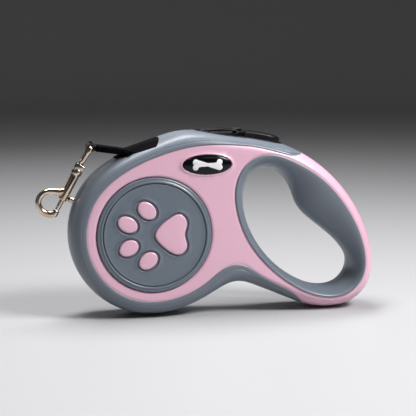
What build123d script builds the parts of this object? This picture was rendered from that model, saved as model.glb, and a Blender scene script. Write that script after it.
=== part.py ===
from build123d import *
import os
from math import acos, atan2, cos, degrees, hypot, radians, sin

# Retractable dog leash: a round reel case that grows into a closed hand loop.
# Millimetres.  X runs from the reel to the handle, Z is up and the front face looks to -Y.
# The origin is on the reel axis, on the plane where the two halves of the case meet.

# ---------------------------------------------------------------- driving dimensions
DRUM_R = 48.0            # outer radius of the drum
HALF_DEPTH = 15.5        # parting plane to the flat face of the case
EDGE_R = 8.5             # rounding of the outer edge
HOLE_EDGE_R = 5.0        # rounding of the edge of the hand opening
SKIN = 1.8               # thickness of the soft overmould
FACE_EDGE_R = 38.8       # hard face of the drum, inside the soft rim
WALL = 2.6               # wall behind the flat face
CAVITY_R = 41.0          # space for the reel
SLACK = 0.05             # gap between pieces that are pushed together
BEYOND = 20.0            # half depth of cutting tools that reach past both faces

DISC_R = 33.4            # round cover on each face
GROOVE_R = 29.4          # fine groove inside the raised ring of the cover
DISC_SEAT = 14.4         # floor of the recess that holds the cover
DISC_FACE = 16.0         # flat middle of the cover
RING_TOP = 16.9          # crest of the raised ring
PAD_TOP = 16.75          # crest of the paw pads
PAD_FLOOR = 15.45        # floor of the recess round each pad
PAD_SEAT = 15.0          # back of the pads
PAD_GAP = 1.4            # width of that recess

BADGE_X, BADGE_Z = 30.4, 39.7
BADGE_A, BADGE_B = 14.2, 5.5     # half length and half height of the oval badge
BADGE_TOP = 16.6

AXLE_R = 4.0
ARBOR_R = 5.5            # thick end of the axle, inside the spring
RUN_FIT = 0.05           # radial clearance of a turning fit
TAPE_Y = -4.5            # middle of the tape across the case
TAPE_W = 10.8
TAPE_T = 0.8
HUB_R = 14.0             # core that the tape is wound on
ROLL_R = 34.0            # outside of the full roll
FLANGE_R = 36.4
TOOTH_R = 38.6           # tips of the ratchet teeth
TEETH = 12
FLANGE_FRONT = -12.2     # front face of the reel
WEB_FRONT, WEB_BACK = 1.4, 3.2
CUP_BACK = 11.2          # rim of the spring cup
REEL_BACK = 12.2         # back of the spring cover

PIVOT_X, PIVOT_Z = 31.0, 54.0    # pin of the brake lever
PIN_R = 1.5
SLOT_FRONT, SLOT_REAR = 27.2, 77.4
SLOT_HALF_W = 9.5
SLOT_FLOOR = 44.5
LEVER_HALF_W = 8.1
LEVER_TOP = 57.9

LEVER_FRONT = 29.5
TONGUE_FRONT, TONGUE_REAR = 47.0, 50.0   # side tongues of the lock
TONGUE_OUT = 9.1
TONGUE_LOW, TONGUE_HIGH = 58.05, 58.65
NOTCH_FLOOR = 55.3               # the frame is cut down to here where the tongues pass
PIN_HALF = 10.1                  # half length of the lever's pin

EXIT_SLOPE = radians(8.45)       # the tape leaves to -X, rising by this angle
SLEEVE_START, SLEEVE_END = 2.6, 19.6     # distances behind the eye's cross bar
SLEEVE_T, SLEEVE_W = 3.2, 12.6
LOOP_IN, LOOP_OUT = 1.36, 2.5    # webbing folded round the cross bar
GUIDE_AT = 29.3                  # guide pin, behind the cross bar

EYE_X, EYE_Z = -35.0, 50.0       # cross bar of the swivel eye
EYE_WIRE = 1.28
EYE_LENGTH, EYE_HALF_W = 9.6, 6.3
HOOK_LEAN = radians(61.4)        # the hook hangs to -X, this far below the horizontal
COLLAR_START, COLLAR_END = 11.2, 14.6    # this and the rest are distances down the hook
STEM_HEAD, STEM_HEAD_T = 16.0, 1.3
BARREL_START, BARREL_END, BARREL_R = 17.0, 34.0, 2.5
BORE_START, BORE_R = 17.6, 1.35
BOLT_START, BOLT_END, BOLT_R = 24.6, 42.8, 1.3
KNOB_AT = 31.7
BOLT_TRAVEL = 6.0

SCREWS = [(19, 46), (46.5, -9), (92.5, -41.9), (128.5, -29.5), (89.5, 40.0)]
SHANK_R, SHANK_END = 1.45, -8.5
HEAD_R, HEAD_T = 2.4, 1.5
HEAD_SEAT = 8.6                  # floor of the counterbores, from the parting plane

# ---------------------------------------------------------------- outlines (x, z)
# Case: points on the drum's circle, then along the underside, round the handle and over the top.
DRUM_ANGLES = range(122, 282, 20)
CASE_CURVE = [(23.4, -43.0), (37.0, -36.0), (49.0, -31.0), (63.0, -34.4), (84.0, -43.3),
              (96.0, -47.4), (107.0, -48.3), (121.0, -45.0), (131.0, -34.8), (133.8, -22.0),
              (130.6, -4.0), (121.5, 14.7), (105.0, 33.8), (90.0, 44.3), (77.2, 50.0),
              (66.0, 53.0), (56.0, 55.0), (46.0, 56.3), (37.0, 57.5), (27.0, 58.4),
              (16.0, 57.9), (4.0, 54.6), (-8.0, 49.9)]
SPINE = [(26.0, 58.7), (37.0, 57.2), (46.0, 56.2), (56.0, 55.0), (66.0, 53.0), (79.0, 49.5)]
# Hard face: an arc round the drum, then open curves that run out over the handle's outer edge.
FACE_TOP = [(FACE_EDGE_R * cos(radians(142)), FACE_EDGE_R * sin(radians(142))), (-16.1, 36.3),
            (4.3, 45.6), (24.8, 50.4), (45.6, 50.6), (62.0, 48.7), (73.6, 45.6), (82.0, 43.7),
            (92.0, 45.5)]
FACE_BOTTOM = [(94.0, -49.5), (85.0, -39.6), (74.3, -32.6), (60.0, -24.3), (50.0, -18.6),
               (42.3, -19.9), (35.2, -24.7), (28.2, -30.1), (14.2, -36.7),
               (FACE_EDGE_R * cos(radians(-90)), FACE_EDGE_R * sin(radians(-90)))]
# Hand opening, and the edge of the soft grip round it.
OPENING = [(97.5, 3.2), (88.0, 12.8), (83.1, 24.3), (76.0, 32.9), (68.0, 35.7), (60.0, 33.0),
           (55.0, 24.0), (55.2, 9.5), (61.3, -5.5), (73.2, -20.7), (87.5, -31.0),
           (104.0, -36.2), (117.0, -32.4), (120.3, -24.0), (115.0, -12.4)]
GRIP_EDGE = [(120.4, 2.2), (109.5, 19.1), (98.6, 30.2), (83.6, 39.7), (69.2, 44.5),
             (55.0, 40.6), (47.4, 26.6), (48.1, 12.3), (54.4, -4.8), (68.1, -22.0),
             (84.4, -34.2), (101.0, -40.4), (116.0, -38.8), (125.4, -28.6), (125.6, -12.0)]
# Straight lower edge of the tape mouth, where the black insert meets the soft rim.
MOUTH_LEFT, MOUTH_RIGHT = (-20.4, 43.3), (1.6, 50.2)

# Top of the rear thumb pad of the brake lever.
LEVER_OUTLINE = [(54.4, LEVER_TOP), (60.0, 57.4), (68.3, 55.9), (75.4, 54.0)]

# Paw: centre, half length, half width and lean of each toe, then the main pad.
TOES = [((-4.5, 14.3), 5.9, 4.4, 139), ((-15.6, 6.6), 5.9, 4.3, 151),
        ((-15.0, -7.0), 5.7, 4.3, 208), ((-3.9, -14.6), 5.8, 4.4, 217)]
MAIN_PAD = [(0.2, 0.0), (3.0, -5.1), (8.8, -9.9), (14.2, -11.5), (18.3, -7.6), (17.2, 0.0),
            (18.4, 7.0), (14.6, 11.6), (9.0, 9.6), (3.2, 5.2)]


# ---------------------------------------------------------------- helpers
def slab(sketch, y_low, y_high):
    """The sketch, drawn in x and z, as a solid between two values of Y."""
    return Pos(0, y_high, 0) * extrude(Plane.XZ * sketch, amount=y_high - y_low)


def block(x_low, x_high, y_low, y_high, z_low, z_high):
    """A box between two corners."""
    size = Box(x_high - x_low, y_high - y_low, z_high - z_low)
    return Pos((x_low + x_high) / 2, (y_low + y_high) / 2, (z_low + z_high) / 2) * size


def rod(x, z, radius, y_low, y_high):
    """A cylinder along Y."""
    return slab(Pos(x, z) * Circle(radius), y_low, y_high)


def turned(profile):
    """A ring about the reel axis from points given as (radius, y)."""
    section = make_face(Polyline(*profile, close=True))
    return revolve(section, Axis.Y)


def closed_curve(points, grow=0.0):
    """Face inside a smooth closed curve through the points, listed anticlockwise.

    With grow, the curve is drawn again through points moved outwards by that distance."""
    curve = Spline(*points, periodic=True)
    if grow:
        moved = []
        count = 3 * len(points)
        for index in range(count):
            place, along = curve @ (index / count), curve % (index / count)
            moved.append((place.X + grow * along.Y, place.Y - grow * along.X))
        curve = Spline(*moved, periodic=True)
    return make_face(curve)


def both_halves(front):
    return front, mirror(front, about=Plane.XZ)


def polygon(*points):
    return make_face(Polyline(*points, close=True))


# ---------------------------------------------------------------- case outlines as faces
def on_circle(radius, angle):
    """Point on a circle about the reel axis."""
    return radius * cos(radians(angle)), radius * sin(radians(angle))


def case_face(grow=0.0):
    """Outline of the whole case, without the hand opening."""
    drum = [on_circle(DRUM_R, angle) for angle in DRUM_ANGLES]
    return closed_curve(drum + CASE_CURVE, grow)


def hard_face():
    """Area inside the soft rim; it runs past the handle's outer edge."""
    start, end = FACE_TOP[0], FACE_BOTTOM[-1]
    arc = ThreePointArc(start, (-FACE_EDGE_R, 0), end)
    top = Spline(*FACE_TOP, tangents=[(-start[1] * -1, -start[0]), (1, 0.6)])
    outside = Polyline(FACE_TOP[-1], (150, 60), (150, -60), FACE_BOTTOM[0])
    bottom = Spline(*FACE_BOTTOM, tangents=[(-0.7, 1), (-1, 0)])
    return make_face(arc + top + outside + bottom)


def half_form(inset):
    """Front half of the case, rounded all round; inset draws every surface inwards."""
    outline = case_face(-inset)
    opening = closed_curve(OPENING, inset)
    depth = HALF_DEPTH - inset
    form = slab(outline, -depth, 0)
    form = fillet(form.edges().filter_by_position(Axis.Y, -depth - 0.1, -depth + 0.1),
                  EDGE_R - inset)
    form -= slab(opening, -depth - 1, 1)
    flat = form.faces().filter_by_position(Axis.Y, -depth - 0.01, -depth + 0.01)
    hole_edges = flat.sort_by(SortBy.AREA)[-1].inner_wires()[0].edges()
    return fillet(hole_edges, HOLE_EDGE_R - inset)


# ---------------------------------------------------------------- inner spaces of the case
def tape_passage():
    """Opening from the reel space to the mouth, round the guide pin."""
    path = polygon((-14.0, 45.4), (-12.5, 48.6), (-3.0, 48.3), (26.0, 31.0), (10.0, 30.0),
                   (-8.0, 38.0), (-10.5, 43.5))
    return slab(path, TAPE_Y - TAPE_W / 2 - 0.6, TAPE_Y + TAPE_W / 2 + 0.6)


def lever_slot():
    """Space under the brake lever, with a pocket down to the ratchet for its leg."""
    slot = block(SLOT_FRONT, SLOT_REAR, -SLOT_HALF_W, SLOT_HALF_W, SLOT_FLOOR, 75)
    leg_pocket = slab(polygon((27.5, 46), (39.5, 46), (38.5, 19.5), (27.5, 19.5)), -0.4, 5.0)
    return slot + leg_pocket


def handle_hollow():
    """Hollow of the hand loop, with posts left standing for the screws."""
    ring = case_face(-7.5) - closed_curve(OPENING, 7.5)
    ring -= Pos(20, 0) * Rectangle(110, 140)
    for x, z in SCREWS:
        ring -= Pos(x, z) * Circle(4.0)
    return slab(ring, -HALF_DEPTH + WALL + 1.5, HALF_DEPTH - WALL - 1.5)


def mouth_wedge():
    """Area above the straight lower edge of the tape mouth."""
    return polygon(MOUTH_LEFT, MOUTH_RIGHT, (5.0, 55.4), (-4.0, 62.0), (-26.0, 50.0))


def inner_spaces():
    spaces = rod(0, 0, CAVITY_R, -HALF_DEPTH + WALL, HALF_DEPTH - WALL)
    spaces += tape_passage()
    spaces += lever_slot()
    return spaces


def seats(y_sign):
    """Holes that one half needs for the axle, pins, screws, cover and badge."""
    tools = []
    cover = rod(0, 0, DISC_R + 0.6, -HALF_DEPTH - 1, -DISC_SEAT)
    badge = slab(Pos(BADGE_X, BADGE_Z) * Ellipse(BADGE_A + SLACK, BADGE_B + SLACK),
                 -HALF_DEPTH - 1, -HALF_DEPTH + 0.8)
    lever_pin = rod(PIVOT_X, PIVOT_Z, PIN_R + SLACK, -PIN_HALF - SLACK, 0)
    for tool in (cover, badge, lever_pin):
        tools.append(tool if y_sign < 0 else mirror(tool, about=Plane.XZ))
    if y_sign < 0:
        tools.append(rod(0, 0, AXLE_R, -13.6, 0))
        tools.append(rod(*guide_pin_centre(), PIN_R + SLACK, -12.45, 0))
        for x, z in SCREWS:
            tools.append(rod(x, z, SHANK_R + SLACK, SHANK_END - 0.5, 0))
    else:
        tools.append(rod(0, 0, ARBOR_R, 0, 13.6))
        tools.append(rod(*guide_pin_centre(), PIN_R + SLACK, 0, 4.05))
        tools.extend(screw_holes())
    return tools


def screw_holes():
    """Counterbored holes through the back half."""
    holes = []
    for x, z in SCREWS:
        shank = rod(x, z, SHANK_R + SLACK, 0, HEAD_SEAT + 0.1)
        holes.append(shank + rod(x, z, HEAD_R + 0.2, HEAD_SEAT, BEYOND))
    return holes


def case_halves():
    """Shells, soft rims and soft grips."""
    form = half_form(0)
    skin = form - half_form(SKIN)
    rim = skin & slab(case_face() - hard_face(), -BEYOND, 0)
    grip = skin & slab(closed_curve(GRIP_EDGE), -BEYOND, 0)
    shell = form - rim - grip
    mouth = slab(mouth_wedge(), -BEYOND, BEYOND)
    openings = inner_spaces() + mouth
    halves = {}
    for name, sign in (("front", -1), ("back", 1)):
        side_shell, side_rim, side_grip = shell, rim, grip
        if sign > 0:
            side_shell, side_rim, side_grip = [mirror(piece, about=Plane.XZ)
                                               for piece in (shell, rim, grip)]
        side_shell = side_shell - openings - handle_hollow()
        side_rim = side_rim - openings
        for tool in seats(sign):
            side_shell = side_shell - tool
        halves[name + "_shell"] = side_shell
        halves[name + "_rim"] = side_rim
        halves[name + "_grip"] = side_grip
    return halves


# ---------------------------------------------------------------- covers, paw and badge
def toe_outline(centre, length, width, lean, grow=0.0):
    return Pos(*centre) * Rot(0, 0, lean) * Ellipse(length + grow, width + grow)


def pad_outlines(grow=0.0):
    outlines = [toe_outline(*toe, grow) for toe in TOES]
    outlines.append(closed_curve(MAIN_PAD, grow))
    return outlines


def disc_cover():
    """Round cover: a flat middle, a fine groove and a raised ring with a narrow flat crest."""
    ring_in, ring_out = GROOVE_R + 0.5, DISC_R
    crest_in, crest_out = ring_in + 1.2, ring_out - 1.2
    foot = -DISC_FACE + 0.6
    outer = ThreePointArc((ring_out, foot), (ring_out - 0.32, -RING_TOP + 0.42),
                          (crest_out, -RING_TOP))
    flat = Line((crest_out, -RING_TOP), (crest_in, -RING_TOP))
    inner = ThreePointArc((crest_in, -RING_TOP), (ring_in + 0.32, -RING_TOP + 0.42),
                          (ring_in, foot))
    rest = Polyline((ring_in, foot), (GROOVE_R - 0.3, foot), (GROOVE_R - 0.3, -DISC_FACE),
                    (0, -DISC_FACE), (0, -DISC_SEAT - SLACK), (ring_out, -DISC_SEAT - SLACK),
                    (ring_out, foot))
    cover = revolve(make_face(outer + flat + inner + rest), Axis.Y)
    for outline in pad_outlines(PAD_GAP):
        cover -= slab(outline, -DISC_FACE - 1, -PAD_FLOOR)
    for outline in pad_outlines():
        cover -= slab(outline, -DISC_FACE - 1, -PAD_SEAT)
    return cover


def paw_pads():
    """Four toes and a main pad, rounded at the crest."""
    pads = []
    for outline in pad_outlines():
        pad = slab(outline, -PAD_TOP, -PAD_SEAT - SLACK)
        crest = pad.edges().filter_by_position(Axis.Y, -PAD_TOP - 0.1, -PAD_TOP + 0.1)
        pads.append(fillet(crest, 0.6))
    return Compound(children=pads)


def badge_plate():
    """Oval badge with a rounded edge."""
    plate = slab(Pos(BADGE_X, BADGE_Z) * Ellipse(BADGE_A, BADGE_B),
                 -BADGE_TOP, -HALF_DEPTH + 0.8 - SLACK)
    crest = plate.edges().filter_by_position(Axis.Y, -BADGE_TOP - 0.1, -BADGE_TOP + 0.1)
    return fillet(crest, 1.0)


def badge_mark():
    """Plain bone shape on the badge."""
    half, spread, knuckle = 6.9, 1.45, 1.75
    bone = Pos(BADGE_X, BADGE_Z) * Rectangle(2 * half, 2.1)
    for x in (-half, half):
        for z in (-spread, spread):
            bone += Pos(BADGE_X + x, BADGE_Z + z) * Circle(knuckle)
    return slab(bone, -BADGE_TOP - 0.2, -BADGE_TOP)


# ---------------------------------------------------------------- reel
def reel_drum():
    """Spool: front flange, core, ratchet web and spring cup in one moulding."""
    bore = AXLE_R + RUN_FIT
    drum = turned([(bore, FLANGE_FRONT), (FLANGE_R, FLANGE_FRONT), (FLANGE_R, FLANGE_FRONT + 1.8),
                   (HUB_R, FLANGE_FRONT + 1.8), (HUB_R, WEB_FRONT), (FLANGE_R, WEB_FRONT),
                   (FLANGE_R, WEB_BACK), (FLANGE_R - 1.0, WEB_BACK), (FLANGE_R - 1.0, CUP_BACK),
                   (FLANGE_R - 3.0, CUP_BACK), (FLANGE_R - 3.0, WEB_BACK), (bore, WEB_BACK)])
    step = 360 / TEETH
    for index in range(TEETH):
        start = 18.0 + index * step
        tooth = polygon(on_circle(FLANGE_R - 0.4, start - 1), on_circle(TOOTH_R, start),
                        on_circle(TOOTH_R, start + 3), on_circle(FLANGE_R - 0.4, start + 11))
        drum += slab(tooth, WEB_FRONT, WEB_BACK)
    return drum


def spring_cover():
    return turned([(ARBOR_R + 0.4, CUP_BACK), (FLANGE_R - 1.0, CUP_BACK),
                   (FLANGE_R - 1.0, REEL_BACK), (ARBOR_R + 0.4, REEL_BACK)])


def arbor_axle():
    """Fixed axle; its thick end is slotted for the inner end of the spring."""
    axle = rod(0, 0, AXLE_R, -13.6, WEB_BACK + 0.3)
    axle += rod(0, 0, ARBOR_R, WEB_BACK + 0.3, 13.6)
    slot = block(-0.5, 0.5, WEB_BACK + 0.6, CUP_BACK - 0.4, 2.5, 7.0)
    return axle - slot


def mainspring():
    """Flat spiral strip from the axle's slot to the wall of the cup."""
    strip, turns, per_turn = 0.35, 9, 12
    first, last = ARBOR_R + 0.6, FLANGE_R - 3.4
    count = turns * per_turn
    inner, outer = [], []
    for index in range(count + 1):
        angle = 90 + 360 * index / per_turn
        radius = first + (last - strip - first) * index / count
        inner.append(on_circle(radius, angle))
        outer.append(on_circle(radius + strip, angle))
    outline = make_face(Spline(*inner) + Line(inner[-1], outer[-1]) + Spline(*outer)
                        + Line(outer[0], inner[0]))
    spring = slab(outline, WEB_BACK + 0.5, CUP_BACK - 0.3)
    tongue = block(-0.3, 0.3, WEB_BACK + 0.8, CUP_BACK - 0.6, 3.0, first + strip / 2)
    return spring + tongue


def tape_roll():
    return turned([(HUB_R + SLACK, TAPE_Y - TAPE_W / 2), (ROLL_R, TAPE_Y - TAPE_W / 2),
                   (ROLL_R, TAPE_Y + TAPE_W / 2), (HUB_R + SLACK, TAPE_Y + TAPE_W / 2)])


# ---------------------------------------------------------------- tape and its way out
def along_exit(distance, lift=0.0):
    """Point on the straight run of tape, measured outwards from the eye's cross bar."""
    return (EYE_X - distance * cos(EXIT_SLOPE) + lift * sin(EXIT_SLOPE),
            EYE_Z + distance * sin(EXIT_SLOPE) + lift * cos(EXIT_SLOPE))


def guide_pin_centre():
    """The pin lies just under the straight run of tape."""
    return along_exit(-GUIDE_AT, -(PIN_R + RUN_FIT + TAPE_T / 2))


def tape_contact():
    """Angle at which the tape's line touches both the roll and the guide pin."""
    x, z = guide_pin_centre()
    roll = ROLL_R + SLACK + TAPE_T / 2
    pin = PIN_R + RUN_FIT + TAPE_T / 2
    return degrees(atan2(z, x)) - degrees(acos((roll - pin) / hypot(x, z)))


def tape_lead():
    """Tape from the roll, over the guide pin and out to the sewn end."""
    angle = tape_contact()
    pin_x, pin_z = guide_pin_centre()
    roll = ROLL_R + SLACK + TAPE_T / 2
    pin = PIN_R + RUN_FIT + TAPE_T / 2
    start = on_circle(roll, angle)
    on_pin = (pin_x + pin * cos(radians(angle)), pin_z + pin * sin(radians(angle)))
    bend_end = 90 - degrees(EXIT_SLOPE)
    middle = radians((angle + bend_end) / 2)
    over = (pin_x + pin * cos(middle), pin_z + pin * sin(middle))
    off_pin = (pin_x + pin * cos(radians(bend_end)), pin_z + pin * sin(radians(bend_end)))
    end = along_exit(-SLEEVE_END - 1.0)
    path = Line(start, on_pin) + ThreePointArc(on_pin, over, off_pin) + Line(off_pin, end)
    outline = trace(path, TAPE_T)
    return slab(outline, TAPE_Y - TAPE_W / 2, TAPE_Y + TAPE_W / 2)


def on_exit(piece):
    """Turn a piece drawn along X into the direction of the tape, at the eye's cross bar."""
    return Pos(EYE_X, TAPE_Y, EYE_Z) * Rot(0, degrees(EXIT_SLOPE), 0) * piece


def tape_end_sleeve():
    """Moulded sleeve over the sewn end of the tape."""
    length = SLEEVE_END - SLEEVE_START
    body = Box(length, SLEEVE_W, SLEEVE_T)
    body = fillet(body.edges(), 0.8)
    body -= Pos(length / 2 - 0.5, 0, 0) * Box(1.1, TAPE_W + 0.1, TAPE_T + 0.1)
    return on_exit(Pos((SLEEVE_START + SLEEVE_END) / 2, 0, 0) * body)


def tape_loop():
    """Folded webbing round the eye's cross bar, with its flat tail in the sleeve."""
    ring = Rot(90, 0, 0) * (Cylinder(LOOP_OUT, TAPE_W - 1.2) - Cylinder(LOOP_IN, TAPE_W))
    tail = Pos(2.1, 0, 0) * Box(1.0, TAPE_W - 1.2, 2.4)
    lip = Pos(-0.2, 0, 2.6) * Rot(0, -25, 0) * Box(1.0, TAPE_W - 1.2, 1.6)
    return on_exit(ring + tail + lip - Rot(90, 0, 0) * Cylinder(LOOP_IN, TAPE_W))


# ---------------------------------------------------------------- hook
def on_hook(piece):
    """Turn a piece drawn along Z into the hook's direction, at the eye's cross bar.

    In the drawing Z is the distance from the bar, X points away from the case and Y stays."""
    lean = degrees(HOOK_LEAN)
    return Pos(EYE_X, TAPE_Y, EYE_Z) * Rot(0, 270 - lean, 0) * piece


def wire(points, radius, closed=False):
    """Round wire along a path of points."""
    path = Spline(*points, periodic=closed)
    start = Plane(origin=path @ 0, z_dir=path % 0)
    return sweep(start * Circle(radius), path=path)


def swivel_eye():
    """Eye with a straight cross bar, and the headed stem that turns in the hook's collar."""
    shoulder, foot = 2.6, 2.2
    half = EYE_HALF_W - EYE_WIRE
    ring = FilletPolyline((-half, 0), (half, 0), (half, shoulder), (foot, EYE_LENGTH),
                          (-foot, EYE_LENGTH), (-half, shoulder), radius=1.8, close=True)
    path = Plane.YZ * ring
    start = Plane(origin=path @ 0, z_dir=path % 0)
    eye = sweep(start * Circle(EYE_WIRE), path=path)
    stem_end = STEM_HEAD - STEM_HEAD_T / 2 + 0.05
    eye += Pos(0, 0, (EYE_LENGTH + stem_end) / 2) * Cylinder(1.3, stem_end - EYE_LENGTH)
    eye += Pos(0, 0, STEM_HEAD) * Cylinder(2.0, STEM_HEAD_T)
    return on_hook(eye)


def snap_body():
    """Collar with square lugs, bored barrel with a slot for the knob, and the hook loop."""
    collar = Pos(0, 0, (COLLAR_START + COLLAR_END) / 2) * Box(5.2, 5.2, COLLAR_END - COLLAR_START)
    collar = fillet(collar.edges(), 0.5)
    cage_end = BARREL_START + 1
    cage = Pos(0, 0, (COLLAR_END + cage_end) / 2) * Cylinder(3.0, cage_end - COLLAR_END + 0.6)
    barrel = Cylinder(BARREL_R, BARREL_END - BARREL_START)
    barrel = Pos(0, 0, (BARREL_START + BARREL_END) / 2) * barrel
    bead = Pos(0, 0, BARREL_END - 1.2) * Cylinder(BARREL_R + 0.4, 2.4)
    hook = wire([(0.6, 0, 26.5), (4.0, 0, 29.2), (8.0, 0, 31.6), (10.6, 0, 36.6), (9.6, 0, 42.0),
                 (5.6, 0, 46.0), (1.4, 0, 46.6)], 1.5)
    nose = Pos(0.2, 0, 45.1) * Cylinder(1.9, 4.2)
    body = collar + cage + barrel + bead + hook + nose
    bore = Cylinder(BORE_R, BARREL_END - BORE_START + 2)
    body -= Pos(0, 0, (BORE_START + BARREL_END) / 2 + 1) * bore
    body -= Pos(0, 0, (COLLAR_START + COLLAR_END) / 2) * Cylinder(BORE_R, 7)
    body -= Pos(0, 0, STEM_HEAD) * Cylinder(2.06, STEM_HEAD_T + 0.14)
    slot_low, slot_high = KNOB_AT - BOLT_TRAVEL - 1.0, KNOB_AT + 1.0
    body -= Pos(-2.0, 0, (slot_low + slot_high) / 2) * Box(4.0, 1.9, slot_high - slot_low)
    body -= Pos(0, 0, 43.2) * Cylinder(BORE_R, 0.9)
    return on_hook(body)


def snap_bolt():
    """Sliding bolt that closes the hook, with its thumb knob on the side towards the case."""
    bolt = Pos(0, 0, (BOLT_START + BOLT_END) / 2) * Cylinder(BOLT_R, BOLT_END - BOLT_START)
    stem = Pos(-2.4, 0, KNOB_AT) * Rot(0, 90, 0) * Cylinder(0.85, 3.4)
    knob = Pos(-4.6, 0, KNOB_AT) * Rot(0, 90, 0) * Cylinder(1.7, 2.6)
    knob = fillet(knob.edges(), 0.35)
    return on_hook(bolt + stem + knob)


def coil(radius, wire_r, pitch, height):
    """Helical spring along Z from the origin."""
    path = Helix(pitch, height, radius)
    start = Plane(origin=path @ 0, z_dir=path % 0)
    return sweep(start * Circle(wire_r), path=path, is_frenet=True)


def snap_spring():
    length = BOLT_START - BORE_START
    return on_hook(Pos(0, 0, BORE_START + 0.3) * coil(0.95, 0.22, 0.9, length - 0.6))


# ---------------------------------------------------------------- brake lever and lock
def lever_side():
    """Side outline of the lever without its leg."""
    top = Spline(*LEVER_OUTLINE, tangents=[(1, 0), (1, -0.3)])
    rest = Polyline((75.4, 54.0), (76.6, 53.2), (76.6, 49.7), (52.0, 53.6), (40.0, 54.0),
                    (34.0, 51.0), (29.0, 51.4), (LEVER_FRONT - 0.9, 54.4), (30.0, LEVER_TOP),
                    (54.4, LEVER_TOP))
    return make_face(top + rest)


def brake_lever():
    """Thumb lever with a hollow underside, a pivot boss and a leg that stops the ratchet."""
    half = LEVER_HALF_W
    lever = slab(lever_side(), -half, half)
    hollow = polygon((36.5, 50.0), (36.5, 56.1), (55.0, 56.1), (68.0, 54.1), (75.0, 52.2),
                     (75.0, 46.0))
    lever -= slab(hollow, -half + 1.5, half - 1.5)
    leg = polygon((31.0, 52.0), (37.0, 52.0), (36.5, 30.0), (35.4, 22.6), (32.3, 22.5),
                  (32.3, 26.0), (33.6, 32.0))
    lever += slab(leg, 0.7, 3.9)
    lever -= rod(PIVOT_X, PIVOT_Z, PIN_R + RUN_FIT, -half - 1, half + 1)
    lever -= block(37.4, 46.2, -1.65, 1.65, 55, 60)
    return lever


def lever_pin():
    return rod(PIVOT_X, PIVOT_Z, PIN_R, -PIN_HALF, PIN_HALF)


def guide_pin():
    return rod(*guide_pin_centre(), PIN_R, -12.4, 4.0)


def lever_spring():
    return Pos(61, 0, SLOT_FLOOR + 0.4) * coil(2.6, 0.35, 1.7, 9.4)


def lock_slider():
    """Sliding pad with a nub at its rear; side tongues slip under the frame's two hooks."""
    plan = polygon((31.5, -6.6), (53.4, -6.6), (53.4, 6.6), (31.5, 6.6), (29.7, 3.4), (29.7, -3.4))
    side = polygon((29.6, 58.05), (56.0, 58.05), (53.4, 58.5), (51.7, 59.8), (50.6, 59.7),
                   (47.4, 58.9), (41.3, 59.4), (34.8, 59.3), (31.0, 58.9))
    slider = slab(side, -8, 8) & extrude(Pos(0, 0, 57) * plan, amount=4)
    slider += block(TONGUE_FRONT, TONGUE_REAR, -TONGUE_OUT, TONGUE_OUT, TONGUE_LOW, TONGUE_HIGH)
    slider += block(38.4, 41.6, -1.5, 1.5, 55.0, 58.2)
    slider += block(37.6, 42.4, -3.4, 3.4, 55.0, 55.9)
    return slider


def button_bezel():
    """Frame round the lever, with two hooks for the lock and a low nose in front."""
    frame = Pos((SLOT_FRONT + SLOT_REAR) / 2, 0) * Rectangle(SLOT_REAR - SLOT_FRONT - 0.1,
                                                            2 * SLOT_HALF_W - 0.1)
    frame -= Pos((29.0 + SLOT_REAR - 0.6) / 2 - 0.2, 0) * Rectangle(SLOT_REAR - 29.0 - 0.2,
                                                                   2 * LEVER_HALF_W + 0.3)
    wall = extrude(Pos(0, 0, 45) * frame, amount=20)
    upper = [(x, z + 0.35) for x, z in SPINE]
    lower = [(x, z - 1.7) for x, z in reversed(SPINE)]
    band = make_face(Spline(*upper) + Line(upper[-1], lower[0]) + Spline(*lower)
                     + Line(lower[-1], upper[0]))
    bezel = wall & slab(band, -12, 12)
    hook_x = TONGUE_REAR + 0.4
    for side in (-1, 1):
        y_low, y_high = sorted((side * 8, side * 10))
        bezel -= block(TONGUE_FRONT - 0.8, hook_x + 3.1, y_low, y_high, NOTCH_FLOOR, 60)
        y_low, y_high = sorted((side * 8.4, side * 9.4))
        bezel += block(hook_x, hook_x + 4.4, y_low, y_high, 57.05, 57.95)
        bezel += block(hook_x + 3.2, hook_x + 4.4, y_low, y_high, 54.5, 57.95)
    return bezel


def outlet_nozzle():
    """Black insert that fills the notch in the rim; the tape passes through its slot."""
    front = half_form(0)
    case = front + mirror(front, about=Plane.XZ)
    left = (MOUTH_LEFT[0] + 0.3, MOUTH_LEFT[1] + 0.15)
    right = (MOUTH_RIGHT[0] - 0.1, MOUTH_RIGHT[1] + 0.02)
    wedge = polygon(left, right, (4.8, 55.4), (-4.0, 62.0), (-26.0, 50.0))
    nozzle = case & slab(wedge, -BEYOND, BEYOND)
    sleeve_box = Box(20, SLEEVE_W + 1.2, SLEEVE_T + 1.6)
    sleeve_room = on_exit(Pos(SLEEVE_END - 9.6, 0, 0.4) * sleeve_box)
    tape_box = Box(30, TAPE_W + 1.2, TAPE_T + 1.0)
    tape_room = on_exit(Pos(SLEEVE_END + 5, 0, 0) * tape_box)
    return nozzle - sleeve_room - tape_room


def case_screws():
    """Identical self-tapping screws, driven from the back."""
    screws = []
    for x, z in SCREWS:
        under, top = HEAD_SEAT + SLACK, HEAD_SEAT + SLACK + HEAD_T
        screw = rod(x, z, SHANK_R, SHANK_END, under + 0.1) + rod(x, z, HEAD_R, under, top)
        cross = block(-1.6, 1.6, top - 0.8, top + 1, -0.35, 0.35)
        cross += block(-0.35, 0.35, top - 0.8, top + 1, -1.6, 1.6)
        screws.append(screw - Pos(x, 0, z) * cross)
    return Compound(children=screws)


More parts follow.
